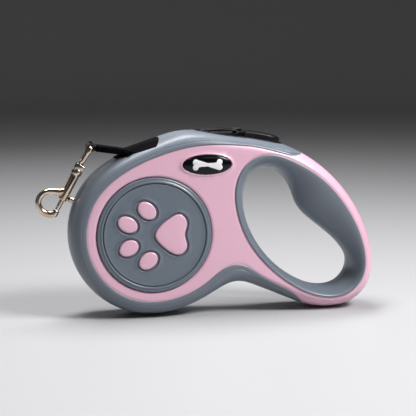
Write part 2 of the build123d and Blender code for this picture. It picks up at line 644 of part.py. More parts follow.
# ---------------------------------------------------------------- write every piece
def all_pieces():
    pieces = case_halves()
    for name, maker in (("disc", disc_cover), ("paw_pads", paw_pads),
                        ("badge", badge_plate), ("badge_mark", badge_mark)):
        pieces["front_" + name], pieces["back_" + name] = both_halves(maker())
    for maker in (reel_drum, spring_cover, arbor_axle, mainspring, tape_roll, tape_lead,
                  tape_end_sleeve, tape_loop, swivel_eye, snap_body, snap_bolt, snap_spring,
                  brake_lever, lever_pin, lever_spring, lock_slider, button_bezel,
                  outlet_nozzle, guide_pin, case_screws):
        pieces[maker.__name__] = maker()
    return pieces


os.makedirs("parts", exist_ok=True)
for piece_name, piece in all_pieces().items():
    export_step(piece, "parts/" + piece_name + ".step")
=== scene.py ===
from math import acos, cos, pi, radians, sin, tan

import bmesh
import bpy
import numpy as np
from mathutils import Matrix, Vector
from mathutils.geometry import delaunay_2d_cdt


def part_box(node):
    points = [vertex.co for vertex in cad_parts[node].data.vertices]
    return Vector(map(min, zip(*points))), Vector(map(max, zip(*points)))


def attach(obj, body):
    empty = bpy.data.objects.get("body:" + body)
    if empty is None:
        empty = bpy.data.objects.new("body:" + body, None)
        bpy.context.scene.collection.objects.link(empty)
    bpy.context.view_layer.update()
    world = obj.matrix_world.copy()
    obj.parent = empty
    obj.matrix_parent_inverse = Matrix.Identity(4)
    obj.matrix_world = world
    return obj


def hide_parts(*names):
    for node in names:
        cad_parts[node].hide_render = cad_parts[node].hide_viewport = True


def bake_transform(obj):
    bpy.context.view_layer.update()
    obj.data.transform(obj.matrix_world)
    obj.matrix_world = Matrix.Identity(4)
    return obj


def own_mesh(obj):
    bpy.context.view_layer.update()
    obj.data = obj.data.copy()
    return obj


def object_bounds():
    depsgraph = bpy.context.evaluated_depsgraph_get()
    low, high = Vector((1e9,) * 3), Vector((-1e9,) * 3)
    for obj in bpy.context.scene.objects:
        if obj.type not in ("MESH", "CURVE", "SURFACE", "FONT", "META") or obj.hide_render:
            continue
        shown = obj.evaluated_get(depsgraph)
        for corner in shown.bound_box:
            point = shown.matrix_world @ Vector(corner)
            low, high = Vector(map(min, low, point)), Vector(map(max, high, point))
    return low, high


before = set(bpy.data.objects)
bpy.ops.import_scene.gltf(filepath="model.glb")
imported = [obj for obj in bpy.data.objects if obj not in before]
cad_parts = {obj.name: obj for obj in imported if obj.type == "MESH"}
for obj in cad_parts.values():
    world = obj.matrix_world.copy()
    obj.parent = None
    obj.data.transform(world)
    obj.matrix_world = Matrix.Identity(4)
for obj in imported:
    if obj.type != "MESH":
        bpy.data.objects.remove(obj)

cad_low, cad_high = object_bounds()

# ---- places, from the frame
# Lengths below are millimetres; every mesh is scaled to metres when it is made.
MM = 0.001


def place(node):
    """Lowest and highest corner of a CAD node, in millimetres."""
    low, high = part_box(node)
    return np.array(low) / MM, np.array(high) / MM


HALF = -place("front_grip")[0][1]  # parting plane to the flat face
DISC_R = place("front_disc")[1][0]  # outer radius of the round cover
badge_low, badge_high = place("front_badge")
BADGE_MID = ((badge_low + badge_high) / 2)[[0, 2]]
BADGE_A, _, BADGE_B = (badge_high - badge_low) / 2  # half length, half height

# ---- driving dimensions
DRUM_R = 48.0
EDGE = 9.0              # width of the rounding along the outer edge
FULL = 2.4              # fullness of that rounding
LOOP_EDGE = 4.2         # width of the rounding along the hand opening
GRIP_FULL = 1.72        # fullness of the grip's section
PROUD = 0.45            # the soft overmould stands this far above the hard face
ROLL = 0.7              # width of the overmould's rolled edge
RIM_TIP = 0.62          # the rim ends where it gets narrower than this
BEAD = 1.9              # flat bead along the rim's inner edge
BEAD_SECTION = [(1.2, 0), (1.12, 0.08), (1.06, 0.3), (1.0, 0.42), (0.94, 0.3), (0.88, 0.08),
                (0.8, 0), (0.5, 0), (0.25, 0), (0, 0)]  # (share of BEAD, groove beside it)
TUCK = 0.8              # the hard face runs on this far under the overmould
SKIN = 1.2              # thickness of each visible skin
SUNK = 0.7              # the overmould's edge goes this far into the hard face
FLAT_Y = 4.97           # the side wall is drawn by depth up to here

# ---- outlines (x, z)
CASE = [(23.4, -43), (37, -36), (49, -31), (63, -34.4), (84, -43.3),
        (96, -47.4), (107, -48.3), (121, -45), (131, -34.8), (133.8, -22),
        (130.6, -4), (121.5, 14.7), (105, 33.8), (90, 44.3), (77.2, 50),
        (66, 53), (56, 55), (46, 56.3), (37, 57.5), (27, 58.4),
        (16, 57.9), (4, 54.6), (-8, 49.9)]
FACE_R = 38.8
FACE_BOTTOM = [(98, -53), (94, -49.5), (85, -39.6), (74.3, -32.6), (60, -24.3),
               (50, -18.6), (42.3, -19.9), (35.2, -24.7), (28.2, -30.1), (14.2, -36.7)]
FACE_TOP = [(-16.1, 36.3), (4.3, 45.6), (24.8, 50.4), (45.6, 50.6), (62, 48.7),
            (73.6, 45.6), (82, 43.7), (92, 45.5), (96, 48)]
OPENING = [(97.5, 3.2), (88, 12.8), (83.1, 24.3), (76, 32.9), (68, 35.7), (60, 33),
           (55, 24), (55.2, 9.5), (61.3, -5.5), (73.2, -20.7), (87.5, -31),
           (104, -36.2), (117, -32.4), (120.3, -24), (115, -12.4)]
GRIP_EDGE = [(120.4, 2.2), (109.5, 19.1), (98.6, 30.2), (83.6, 39.7), (69.2, 44.5),
             (55, 40.6), (47.4, 26.6), (48.1, 12.3), (54.4, -4.8), (68.1, -22),
             (84.4, -34.2), (101, -40.4), (116, -38.8), (125.4, -28.6), (125.6, -12)]


# ---- curves
AROUND = np.arange(0, 360, 1.5)


def circle(radius, angles=AROUND, centre=(0.0, 0.0)):
    return np.array([(centre[0] + radius * cos(radians(a)),
                      centre[1] + radius * sin(radians(a))) for a in angles])


def full_turn(count):
    return np.linspace(0, 2 * pi, count, endpoint=False)


def spline(points, closed, count):
    """Cubic curve through the points, as count points spaced evenly along it."""
    pts = np.array(points, float)
    knots = np.vstack([pts, pts[:1]]) if closed else pts
    step = np.linalg.norm(np.diff(knots, axis=0), axis=1)
    param = np.concatenate([[0], np.cumsum(step)])
    n = len(pts)
    system, rhs = np.zeros((n, n)), np.zeros((n, 2))
    for i in range(n):
        if not closed and i in (0, n - 1):
            system[i, i] = 1
            continue
        before, after = step[i - 1], step[i]
        system[i, i - 1] += before
        system[i, i] += 2 * (before + after)
        system[i, (i + 1) % n] += after
        rhs[i] = 6 * ((knots[i + 1] - knots[i]) / after - (knots[i] - pts[i - 1]) / before)
    bend = np.linalg.solve(system, rhs)
    if closed:
        bend = np.vstack([bend, bend[:1]])
    fine = np.linspace(0, param[-1], 40 * n)
    seg = np.clip(np.searchsorted(param, fine, side="right") - 1, 0, len(step) - 1)
    h = step[seg][:, None]
    a = ((param[seg + 1] - fine)[:, None]) / h
    b = 1 - a
    curve = (a * knots[seg] + b * knots[seg + 1]
             + ((a ** 3 - a) * bend[seg] + (b ** 3 - b) * bend[seg + 1]) * h ** 2 / 6)
    length = np.concatenate([[0], np.cumsum(np.linalg.norm(np.diff(curve, axis=0), axis=1))])
    at = np.linspace(0, length[-1], count, endpoint=not closed)
    return np.stack([np.interp(at, length, curve[:, k]) for k in (0, 1)], axis=1)


def tangents(path, closed):
    """Unit directions along a path."""
    if closed:
        along = np.roll(path, -1, axis=0) - np.roll(path, 1, axis=0)
    else:
        along = np.gradient(path, axis=0)
    return along / np.linalg.norm(along, axis=1)[:, None]


def outward(loop, closed=True):
    """Unit normals pointing out of an anticlockwise loop."""
    along = tangents(loop, closed)
    return np.stack([along[:, 1], -along[:, 0]], axis=1)


def moved(line, normal, by):
    """A line shifted along its normals, by one distance or by one for each point."""
    return line + normal * np.reshape(by, (-1, 1))


def at_depth(line, depth):
    """A line in x and z, as points in front of the parting plane."""
    return np.stack([line[:, 0], -depth + np.zeros(len(line)), line[:, 1]], axis=1)


def segments(line, closed):
    """Start and run of each straight piece of a polyline."""
    start, end = (line, np.roll(line, -1, axis=0)) if closed else (line[:-1], line[1:])
    return start, end - start


def distance_to(points, line, closed=True):
    """Shortest distance from each point to a polyline."""
    best = np.full(len(points), 1e9)
    for a, d in zip(*segments(line, closed)):
        t = np.clip(((points - a) @ d) / max(d @ d, 1e-12), 0, 1)
        gap = points - a - t[:, None] * d
        best = np.minimum(best, np.einsum("ij,ij->i", gap, gap))
    return np.sqrt(best)


def hit(origins, directions, line, closed=False):
    """Distance along each ray to the nearest crossing of a polyline, or a large number."""
    start, side = segments(line, closed)
    result = np.full(len(origins), 1e9)
    for i, (p, d) in enumerate(zip(origins, directions)):
        cross = d[0] * side[:, 1] - d[1] * side[:, 0]
        cross = np.where(abs(cross) < 1e-9, 1e-9, cross)
        gap = start - p
        t = (gap[:, 0] * side[:, 1] - gap[:, 1] * side[:, 0]) / cross
        s = (gap[:, 0] * d[1] - gap[:, 1] * d[0]) / cross
        good = (t > 1e-4) & (s >= 0) & (s <= 1)
        if good.any():
            result[i] = t[good].min()
    return result


def inside(points, loop):
    """Which points lie inside a closed loop."""
    x, z = points[:, 0], points[:, 1]
    result = np.zeros(len(points), bool)
    for (x1, z1), (x2, z2) in zip(loop, np.roll(loop, -1, axis=0)):
        if z1 != z2:
            crosses = (z1 > z) != (z2 > z)
            result ^= crosses & (x < (x2 - x1) * (z - z1) / (z2 - z1) + x1)
    return result


def smoothstep(value):
    value = np.clip(value, 0, 1)
    return value * value * (3 - 2 * value)


def bell(reach, spread):
    """Weights of a smoothing window."""
    weights = np.exp(-0.5 * (np.arange(-reach, reach + 1) / spread) ** 2)
    return weights / weights.sum()


# ---- mesh helpers
def add_object(name, data):
    added = bpy.data.objects.new(name, data)
    bpy.context.scene.collection.objects.link(added)
    return added


def make_piece(name, part, material, body="case", nodes=(), skin=0.0, skin_side=-1):
    """Smooth mesh object from (verts, faces) in millimetres.

    It rides on a body and stands for the CAD nodes. A skin turns an open sheet into a solid of
    that thickness."""
    verts, faces = part
    mesh = bpy.data.meshes.new(name)
    mesh.from_pydata([tuple(np.array(v) * MM) for v in verts], [], faces)
    mesh.validate()
    work = bmesh.new()
    work.from_mesh(mesh)
    bmesh.ops.remove_doubles(work, verts=work.verts, dist=1e-7)
    bmesh.ops.recalc_face_normals(work, faces=work.faces)
    work.to_mesh(mesh)
    work.free()
    for face in mesh.polygons:
        face.use_smooth = True
    mesh.materials.append(material)
    piece = add_object(name, mesh)
    if body:
        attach(piece, body)
    if skin:
        solid = piece.modifiers.new("thickness", "SOLIDIFY")
        solid.thickness = skin * MM
        solid.offset = skin_side
        solid.use_even_offset = False
    if nodes:
        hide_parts(*nodes)
    return piece


def loft(loops, closed=True, cap_start=False, cap_end=False):
    """Vertices and quads between loops of the same length."""
    count = len(loops[0])
    verts = [tuple(p) for loop in loops for p in loop]
    faces = []
    for base in range(0, len(verts) - count, count):
        for i in range(count if closed else count - 1):
            j = (i + 1) % count
            faces.append((base + i, base + j, base + count + j, base + count + i))
    if cap_start:
        faces.append(tuple(range(count))[::-1])
    if cap_end:
        faces.append(tuple(range(len(verts) - count, len(verts))))
    return verts, faces


def join(*parts):
    """Several (verts, faces) sets as one."""
    verts, faces = [], []
    for part_verts, part_faces in parts:
        base = len(verts)
        verts += list(part_verts)
        faces += [tuple(base + i for i in face) for face in part_faces]
    return verts, faces


PITCH = 2.2             # spacing of a sheet's points between its guides


def sheet(outer, holes, guides, height):
    """Triangles over the area inside outer and outside holes; height gives y from (x, z).

    guides are (line, closed) pairs that the triangles follow."""
    low, high = outer.min(axis=0), outer.max(axis=0)
    rows = np.arange(low[1], high[1], PITCH * 0.866)
    field = np.array([(x + (k % 2) * PITCH / 2, z) for k, z in enumerate(rows)
                      for x in np.arange(low[0], high[0], PITCH)])
    lines = [(line, True) for line in (outer, *holes)] + guides
    clear = inside(field, outer)
    for line, closed in lines:
        clear &= distance_to(field, line, closed) > PITCH * 0.45
    points, edges = list(field[clear]), []
    for line, closed in lines:
        base, count = len(points), len(line)
        points += list(line)
        edges += [(base + i, base + (i + 1) % count) for i in range(count if closed else count - 1)]
    out = delaunay_2d_cdt([Vector(p) for p in points], edges, [], 0, 1e-5)
    flat = np.array([tuple(p) for p in out[0]])
    tris = np.array([tuple(f) for f in out[2]])
    middle = flat[tris].mean(axis=1)
    keep = inside(middle, outer)
    for hole in holes:
        keep &= ~inside(middle, hole)
    used, tris = np.unique(tris[keep], return_inverse=True)
    return at_depth(flat, -height(flat))[used], tris.reshape(-1, 3).tolist()


def mirrored(part):
    """The same verts and faces on the other side of the parting plane."""
    verts, faces = part
    return [(x, -y, z) for x, y, z in verts], [tuple(face)[::-1] for face in faces]


def unbroken(mask):
    """Runs of indices, round the outline, where the mask is true."""
    if mask.all():
        return [list(range(len(mask)))]
    start = next(i for i in range(len(mask)) if not mask[i])
    runs, current = [], []
    for k in range(len(mask) + 1):
        i = (start + k) % len(mask)
        if mask[i] and k < len(mask):
            current.append(i)
        elif current:
            runs.append(current)
            current = []
    return runs


# ---- materials
def set_inputs(node, **values):
    """Set a node's inputs by name; an underscore stands for a space."""
    for name, value in values.items():
        node.inputs[name.replace("_", " ")].default_value = value


def add_node(tree, kind, **values):
    node = tree.nodes.new("ShaderNode" + kind)
    set_inputs(node, **values)
    return node


def new_material(name, colour, roughness, metallic=0.0):
    material = bpy.data.materials.new(name)
    material.use_nodes = True
    tree = material.node_tree
    shader = tree.nodes["Principled BSDF"]
    set_inputs(shader, Base_Color=(*colour, 1), Roughness=roughness, Metallic=metallic)
    return material, tree, shader


def coordinates(tree):
    return add_node(tree, "TexCoord").outputs["Object"]


def noise(tree, coords, scale, detail=4.0, rough=0.55):
    texture = add_node(tree, "TexNoise", Scale=scale, Detail=detail, Roughness=rough)
    tree.links.new(coords, texture.inputs["Vector"])
    return texture.outputs["Fac"]


def ramp(tree, value, low, high, out_low=0.0, out_high=1.0):
    mapping = add_node(tree, "MapRange", From_Min=low, From_Max=high, To_Min=out_low,
                       To_Max=out_high)
    tree.links.new(value, mapping.inputs["Value"])
    return mapping.outputs["Result"]


def mix_colour(tree, factor, first, second):
    """Blend of two colours, each a tuple or another node's output."""
    mix = add_node(tree, "Mix")
    mix.data_type = "RGBA"
    tree.links.new(factor, mix.inputs["Factor"])
    sockets = {socket.identifier: socket for socket in (*mix.inputs, *mix.outputs)}
    for name, value in (("A_Color", first), ("B_Color", second)):
        if isinstance(value, tuple):
            sockets[name].default_value = (*value, 1)
        else:
            tree.links.new(value, sockets[name])
    return sockets["Result_Color"]


def bump(tree, shader, height, strength, distance):
    node = add_node(tree, "Bump", Strength=strength, Distance=distance)
    tree.links.new(height, node.inputs["Height"])
    tree.links.new(node.outputs["Normal"], shader.inputs["Normal"])


def edge_wear_and_highlight(tree):
    """0 on plain surface, 1 on sharp convex edges, where the colour is lightened as rubbed wear and
    as a painted highlight.
    """
    return ramp(tree, add_node(tree, "NewGeometry").outputs["Pointiness"], 0.555, 0.65)


MOTTLE, GLOSS_PATCHES = 45.0, 160.0  # noise scales of the colour and of the gloss


def moulded(name, colour, roughness, grain, grain_depth, variation=0.05, wear_and_highlight=0.15,
            coat=0.0, sheen=0.0, specular=0.5):
    """Moulded plastic or rubber: fine grain, uneven gloss, and convex edges lightened as rubbed
    wear and as a painted highlight.
    """
    material, tree, shader = new_material(name, colour, roughness)
    coords = coordinates(tree)
    broad = noise(tree, coords, MOTTLE, 3.0)
    fine = noise(tree, coords, grain, 2.0, 0.6)
    lighter = tuple(min(1.0, c * (1 + variation)) for c in colour)
    darker = tuple(c * (1 - variation) for c in colour)
    # Lighter convex edges: partly rubbed wear, partly a painted highlight standing in for edge
    # glints.
    rubbed_and_highlit = tuple(min(1.0, c + (1 - c) * wear_and_highlight) for c in colour)
    tone = mix_colour(tree, broad, darker, lighter)
    worn_and_highlit = mix_colour(tree, edge_wear_and_highlight(tree), tone, rubbed_and_highlit)
    tree.links.new(worn_and_highlit, shader.inputs["Base Color"])
    gloss = ramp(tree, noise(tree, coords, GLOSS_PATCHES, 5.0), 0.3, 0.7,
                 roughness * 0.88, roughness * 1.12)
    tree.links.new(gloss, shader.inputs["Roughness"])
    bump(tree, shader, fine, 0.35, grain_depth)
    set_inputs(shader, Specular_IOR_Level=specular, Coat_Weight=coat, Coat_Roughness=0.12,
               Sheen_Weight=sheen, Sheen_Roughness=0.4)
    return material


def metal(name, colour, roughness, tint):
    """Plated metal with fine scratches and tarnish in patches."""
    material, tree, shader = new_material(name, colour, roughness, 1.0)
    coords = coordinates(tree)
    patches = ramp(tree, noise(tree, coords, 120.0, 4.0), 0.42, 0.68)
    tree.links.new(mix_colour(tree, patches, colour, tint), shader.inputs["Base Color"])
    streaks = noise(tree, coords, 700.0, 6.0, 0.75)
    tree.links.new(ramp(tree, streaks, 0.3, 0.7, roughness * 0.6, roughness * 1.5),
                   shader.inputs["Roughness"])
    bump(tree, shader, streaks, 0.15, 0.00004)
    return material


def webbing(name, colour):
    """Woven nylon: a fine twill of warp and weft."""
    material, tree, shader = new_material(name, colour, 0.75)
    coords = coordinates(tree)
    weave = tree.nodes.new("ShaderNodeMath")
    weave.operation = "MULTIPLY"
    for target, axis, scale in zip(weave.inputs, "XY", (260.0, 430.0)):
        wave = add_node(tree, "TexWave", Scale=scale, Distortion=0.6, Detail=1.0)
        wave.bands_direction = axis
        tree.links.new(coords, wave.inputs["Vector"])
        tree.links.new(wave.outputs["Fac"], target)
    lighter = tuple(c * 3.2 for c in colour)
    tree.links.new(mix_colour(tree, weave.outputs[0], colour, lighter),
                   shader.inputs["Base Color"])
    bump(tree, shader, weave.outputs[0], 0.8, 0.0002)
    set_inputs(shader, Sheen_Weight=0.06)
    return material


# The pink's strong edge lightening is mostly a painted highlight on its convex edges.
PINK = moulded("pink_abs", (0.70, 0.415, 0.525), 0.31, 1500.0, 0.00001, 0.03, 0.22, coat=0.45)
GREY = moulded("soft_grey_rubber", (0.134, 0.158, 0.192), 0.38, 2600.0, 0.00003, 0.05, 0.06,
               sheen=0.06, specular=0.6)
DISC = moulded("grey_disc", (0.114, 0.140, 0.174), 0.34, 3200.0, 0.00004, 0.05, 0.0,
               specular=0.7)
BLACK = moulded("black_plastic", (0.005, 0.005, 0.006), 0.38, 2200.0, 0.00002, 0.08, 0.02,
                specular=0.20)
MATT = moulded("matt_black", (0.0015, 0.0015, 0.002), 0.55, 2200.0, 0.00002, 0.08, 0.004,
               specular=0.02)
GLOSS = moulded("badge_gloss", (0.003, 0.003, 0.004), 0.10, 300.0, 0.000004, 0.05, 0.02,
                specular=0.25)
SILVER = moulded("badge_print", (0.74, 0.74, 0.75), 0.30, 1800.0, 0.000005, 0.04, 0.05)
NICKEL = metal("warm_nickel", (0.66, 0.60, 0.52), 0.15, (0.62, 0.40, 0.28))
STEEL = metal("zinc_steel", (0.60, 0.60, 0.61), 0.35, (0.48, 0.48, 0.50))
SPRING = metal("spring_steel", (0.36, 0.35, 0.34), 0.35, (0.26, 0.22, 0.20))
ACETAL = moulded("white_acetal", (0.62, 0.61, 0.58), 0.45, 1200.0, 0.00003, 0.05, 0.10)
WEB = webbing("black_webbing", (0.006, 0.006, 0.007))

# ---- case lines
OUTLINE_COUNT = 900
case_line = spline([*circle(DRUM_R, range(122, 282, 20)), *CASE], True, OUTLINE_COUNT)
case_out = outward(case_line)
case_x, case_z = case_line.T
face_line = spline([*FACE_BOTTOM, *circle(FACE_R, [*range(270, 135, -15), 142]), *FACE_TOP],
                   False, 1200)
hole_line = spline(OPENING, True, 360)
hole_out = outward(hole_line)
grip_line = spline(GRIP_EDGE, True, 700)
grip_out = outward(grip_line)
grip_under = moved(grip_line, grip_out, -TUCK)


def rounding(inset, width=EDGE, full=FULL):
    """Share of the half depth that the surface reaches at a distance in from an edge."""
    share = np.clip(np.asarray(inset, float) / width, 0, 1)
    return (1 - (1 - share) ** full) ** (1 / full)


def inset_at(y):
    """Distance in from the outline at which the case's surface reaches y."""
    share = np.clip(abs(np.asarray(y, float)) / HALF, 0, 1)
    return EDGE * (1 - (1 - share ** FULL) ** (1 / FULL))


def surface(points):
    """Depth of the plain case surface at points in x and z."""
    edge = rounding(distance_to(points, case_line))
    return HALF * edge * rounding(distance_to(points, hole_line), LOOP_EDGE, 2.0)


def top_of_case(x):
    """Height of the crown of the case, over the hand opening and the drum."""
    upper = case_line[(case_z > 38) & (case_x > -30)]
    return np.interp(x, *upper[np.argsort(upper[:, 0])].T)


# Width of the soft rim along the outline; past its two tips this is nil.
rim_width = hit(case_line, -case_out, face_line)
rim_width[(rim_width > 15) | (case_x > 100)] = 0.0
rim_run = max(unbroken(rim_width > 0), key=len)
padded = np.pad(rim_width[rim_run], 15, mode="reflect", reflect_type="odd")
rim_width[rim_run] = np.convolve(padded, bell(15, 5.0), "valid").clip(0)

# The rim is cut away round the brake button and round the mouth of the tape.
SLOT_MIDDLE, SLOT_HALF_L, SLOT_HALF_W = 52.0, 26.2, 9.5
MOUTH = np.array([(-21.1, 43.08), (1.6, 50.2), (5.0, 55.6)])


def slot_half_width(x, trim=0.0):
    """Half width of the long oval round the brake button, seen from above."""
    share = np.clip(abs(np.asarray(x, float) - SLOT_MIDDLE) / (SLOT_HALF_L - trim), 0, 1)
    return (SLOT_HALF_W - trim) * (1 - share ** 3.4) ** (1 / 2.4)


upper_side = case_z > 40
cut_inset = np.zeros(OUTLINE_COUNT)
in_slot = upper_side & (abs(case_x - SLOT_MIDDLE) < SLOT_HALF_L)
cut_inset[in_slot] = inset_at(slot_half_width(case_x[in_slot]))
to_mouth = hit(case_line, -case_out, MOUTH)
in_mouth = upper_side & (case_x < 6) & (case_x > -22) & (to_mouth < 9)
cut_inset[in_mouth] = to_mouth[in_mouth]

WALL_Y = [0.0, 0.10, 0.34, 0.8, 1.7, 3.2, FLAT_Y]
PARTING = [0.34, 0.12, 0.02, 0, 0, 0, 0]  # shape of the line where the halves meet
PARTING_GRIP = [0.32, 0.05]  # the same on the grip
GRIP_LIP = [(0.12, 0.12), (0.02, 0.36)]  # (outwards, depth) on each side of that line
FLAT_INSET = inset_at(FLAT_Y)
ROLL_LEANS = np.radians([18, 36, 54, 72, 90])  # steps round the overmould's rolled edge


# ---- soft rim
def rim_half(width):
    """Overmoulded rim of the front half, as loops from the parting line to its inner edge."""
    run = max(unbroken(width > RIM_TIP), key=len)
    line, normal, w, cut = case_line[run], case_out[run], width[run], cut_inset[run]
    roll = np.minimum(ROLL, w / 3)
    reach = w - roll
    proud = PROUD * np.minimum(1, w / 4)
    bead = np.minimum(BEAD, w * 0.25)
    whole = cut < 0.02
    insets = [np.full(len(run), inset_at(y)) for y in WALL_Y]
    insets += [FLAT_INSET + (reach - 1.4 * bead - FLAT_INSET) * t ** 1.2
               for t in np.linspace(0, 1, 14)[1:]]
    dips = [0.0] * len(insets) + [dip for _, dip in BEAD_SECTION]
    insets += [reach - bead * share for share, _ in BEAD_SECTION]
    loops = []
    for k, (inset, dip) in enumerate(zip(insets, dips)):
        inset = np.minimum(inset, reach)
        inset = cut + (reach - cut).clip(0) * inset / np.maximum(reach, 1e-6)
        groove = whole * (PARTING[k] if k < len(PARTING) else 0)
        depth = HALF * rounding(inset) + proud * (1 - dip) * smoothstep((inset - 0.4) / 3)
        if k < len(WALL_Y):
            depth = np.where(whole & (inset < reach), WALL_Y[k], depth)
        loops.append(at_depth(moved(line, normal, -(inset + groove)), depth))
    for lean in ROLL_LEANS:
        inset = reach + roll * sin(lean)
        depth = HALF * rounding(inset) + proud * cos(lean) * smoothstep((reach - 0.4) / 3)
        loops.append(at_depth(moved(line, normal, -inset), depth))
    return loft(loops + [loops[-1] + (0, SUNK, 0)], closed=False)


SCREWS = [(19, 46), (46.5, -9), (92.5, -41.9), (128.5, -29.5), (89.5, 40.0)]
WELL_R, WELL_FLOOR, WELL_ANGLES = 2.6, 8.65, range(0, 360, 10)


# ---- hard shells
BEVEL_W, BEVEL_D = 1.9, 0.95  # rounded edge of the shell round the cover
RING_GAP = -0.1
BADGE_LIP, LIP_W = 0.42, 1.3  # raised lip of the shell round the badge
GRIP_DIP, RIM_DIP = (0.4, 1.3), (0.25, 1.0)  # depth and width of the dip beside each skin


def oval(grow):
    """Outline of the badge, grown all round."""
    angles = full_turn(120)
    return BADGE_MID + np.stack([(BADGE_A + grow) * np.cos(angles),
                                 (BADGE_B + grow) * np.sin(angles)], axis=1)


badge_hole = oval(0.1)


def shell_height(points):
    """Depth of the hard face, with its rounded edge round the cover and a lip round the badge."""
    depth = surface(points)
    step = (np.hypot(points[:, 0], points[:, 1]) - DISC_R - RING_GAP) / BEVEL_W
    step = 1 - np.clip(step, 0, 1)
    depth -= BEVEL_D * (1 - np.sqrt(1 - step ** 2))
    near = distance_to(points, badge_hole)
    depth += BADGE_LIP * np.sin(pi * np.clip(near / LIP_W, 0, 1)) ** 1.2
    for line, closed, (dip, wide) in ((grip_line, True, GRIP_DIP), (face_line, False, RIM_DIP)):
        depth -= dip * (1 - smoothstep(distance_to(points, line, closed) / wide))
    return -depth


def shell_half(width, screws):
    """Hard shell of the front half, from under the soft rim to the cover and the grip."""
    under = np.where(width > 0, width - TUCK * np.minimum(1, width / 4), 0)
    bare = under < FLAT_INSET
    under = np.maximum(under, FLAT_INSET)
    guides = []
    for inset in (0.42, 0.65, 0.95, 1.35, 1.9, 2.6, 3.5, 4.6, 5.9, 7.4, 9.0):
        line = moved(case_line, case_out, -inset)
        guides += [(line[part], False) for part in unbroken(under < inset - 0.12) if len(part) > 3]
    for offset in (0.0, 0.35, 0.7, 1.05, 1.6):
        line = moved(case_line, case_out, -(width + offset))
        guides += [(line[part], False) for part in unbroken(width > 2.5)]
    guides += [(moved(grip_line, grip_out, offset), True) for offset in (0.0, 0.35, 0.75, 1.2, 1.8)]
    inner = DISC_R + RING_GAP
    guides += [(circle(inner + BEVEL_W * share), True)
               for share in (0.03, 0.1, 0.22, 0.38, 0.58, 0.8, 1.0, 1.25)]
    guides += [(oval(grow), True) for grow in (0.25, 0.5, 0.75, 1.0, 1.25, 1.5)]
    holes = [circle(inner), grip_under, badge_hole]
    holes += [circle(WELL_R, WELL_ANGLES, centre) for centre in screws]
    parts = [sheet(moved(case_line, case_out, -under), holes, guides, shell_height)]
    near_bare = np.any([np.roll(bare, k) for k in range(-12, 13)], axis=0)
    for part in unbroken(near_bare):
        normal = case_out[part]
        line = moved(case_line[part], normal, -0.06 * ~bare[part])
        parts.append(loft([at_depth(moved(line, normal, -(inset_at(y) + groove)), y)
                           for y, groove in zip(WALL_Y, PARTING)], closed=False))
    return join(*parts)


# ---- soft grip
def grip_half():
    """Overmoulded grip of the front half, from the opening's waist out to its edge."""
    target = moved(hole_line, hole_out, hit(hole_line, hole_out, grip_line, closed=True))
    nearest = [int(np.argmin(((grip_line - p) ** 2).sum(axis=1))) for p in target]
    turn = 2 * pi * np.arange(len(hole_line)) / len(hole_line)
    drift = np.unwrap(np.array(nearest) * 2 * pi / len(grip_line)) - turn
    drift = np.convolve(np.concatenate([drift[-40:], drift, drift[:40]]), bell(40, 14.0), "valid")
    index = (turn + drift) % (2 * pi) / (2 * pi) * len(grip_line)
    ring = np.vstack([grip_line, grip_line[:1]])
    target = np.stack([np.interp(index, np.arange(len(ring)), ring[:, k]) for k in (0, 1)], axis=1)
    reach = np.linalg.norm(target - hole_line, axis=1)
    outwards = (target - hole_line) / reach[:, None]
    body = reach - ROLL
    crest = surface(moved(hole_line, outwards, body)) + PROUD
    loops = []
    for k, share in enumerate(np.linspace(0, 1, 22)):
        out = body * (1 - cos(share * pi / 2))
        groove = PARTING_GRIP[k] if k < len(PARTING_GRIP) else 0.0
        loops.append(at_depth(moved(hole_line, outwards, out + groove),
                              crest * rounding(out, body, GRIP_FULL)))
    loops[1:1] = [at_depth(moved(hole_line, outwards, out), depth) for out, depth in GRIP_LIP]
    for lean in ROLL_LEANS:
        at = moved(hole_line, outwards, body + ROLL * sin(lean))
        loops.append(at_depth(at, surface(at) + PROUD * cos(lean)))
    return loft(loops + [loops[-1] + (0, SUNK, 0)])


for name, half in (("rim", rim_half(rim_width)), ("grip", grip_half())):
    make_piece("soft_" + name, join(half, mirrored(half)), GREY,
               nodes=("front_" + name, "back_" + name), skin=SKIN)

# ---- covers and paw
FACE_Y, MOAT_Y, PAD_Y = 16.0, 15.15, 16.7
RING_PROFILE = [(-0.35, 13.9), (-0.36, 15.1), (-0.42, 15.5), (-0.6, 15.85), (-0.9, 16.1),
                (-1.25, 16.2), (-1.55, 16.19), (-1.82, 16.1), (-2.05, 16.18), (-2.35, 16.44),
                (-2.7, 16.62), (-3.0, 16.64), (-3.3, 16.5), (-3.5, 16.25), (-3.6, 15.95),
                (-3.68, 15.2), (-4.02, 15.2), (-4.08, 15.9), (-4.2, 16.13), (-4.42, 16.22),
                (-4.7, 16.17), (-5.0, 16.06), (-5.3, 16.0)]
FLAT_R = DISC_R + RING_PROFILE[-1][0]
TOES = [((-4.5, 14.3), 5.9, 4.4, 139), ((-15.6, 6.6), 5.9, 4.3, 151),
        ((-15.0, -7.0), 5.7, 4.3, 208), ((-3.9, -14.6), 5.8, 4.4, 217)]
MAIN_PAD = [(0.2, 0.0), (3.0, -5.1), (8.8, -9.9), (14.2, -11.5), (18.3, -7.6), (17.2, 0.0),
            (18.4, 7.0), (14.6, 11.6), (9.0, 9.6), (3.2, 5.2)]


def toe_line(centre, length, width, lean):
    """Oval of a toe pad, leaning."""
    t = full_turn(90)
    c, s = cos(radians(lean)), sin(radians(lean))
    u, v = length * np.cos(t), width * np.sin(t)
    return np.stack([centre[0] + u * c - v * s, centre[1] + u * s + v * c], axis=1)


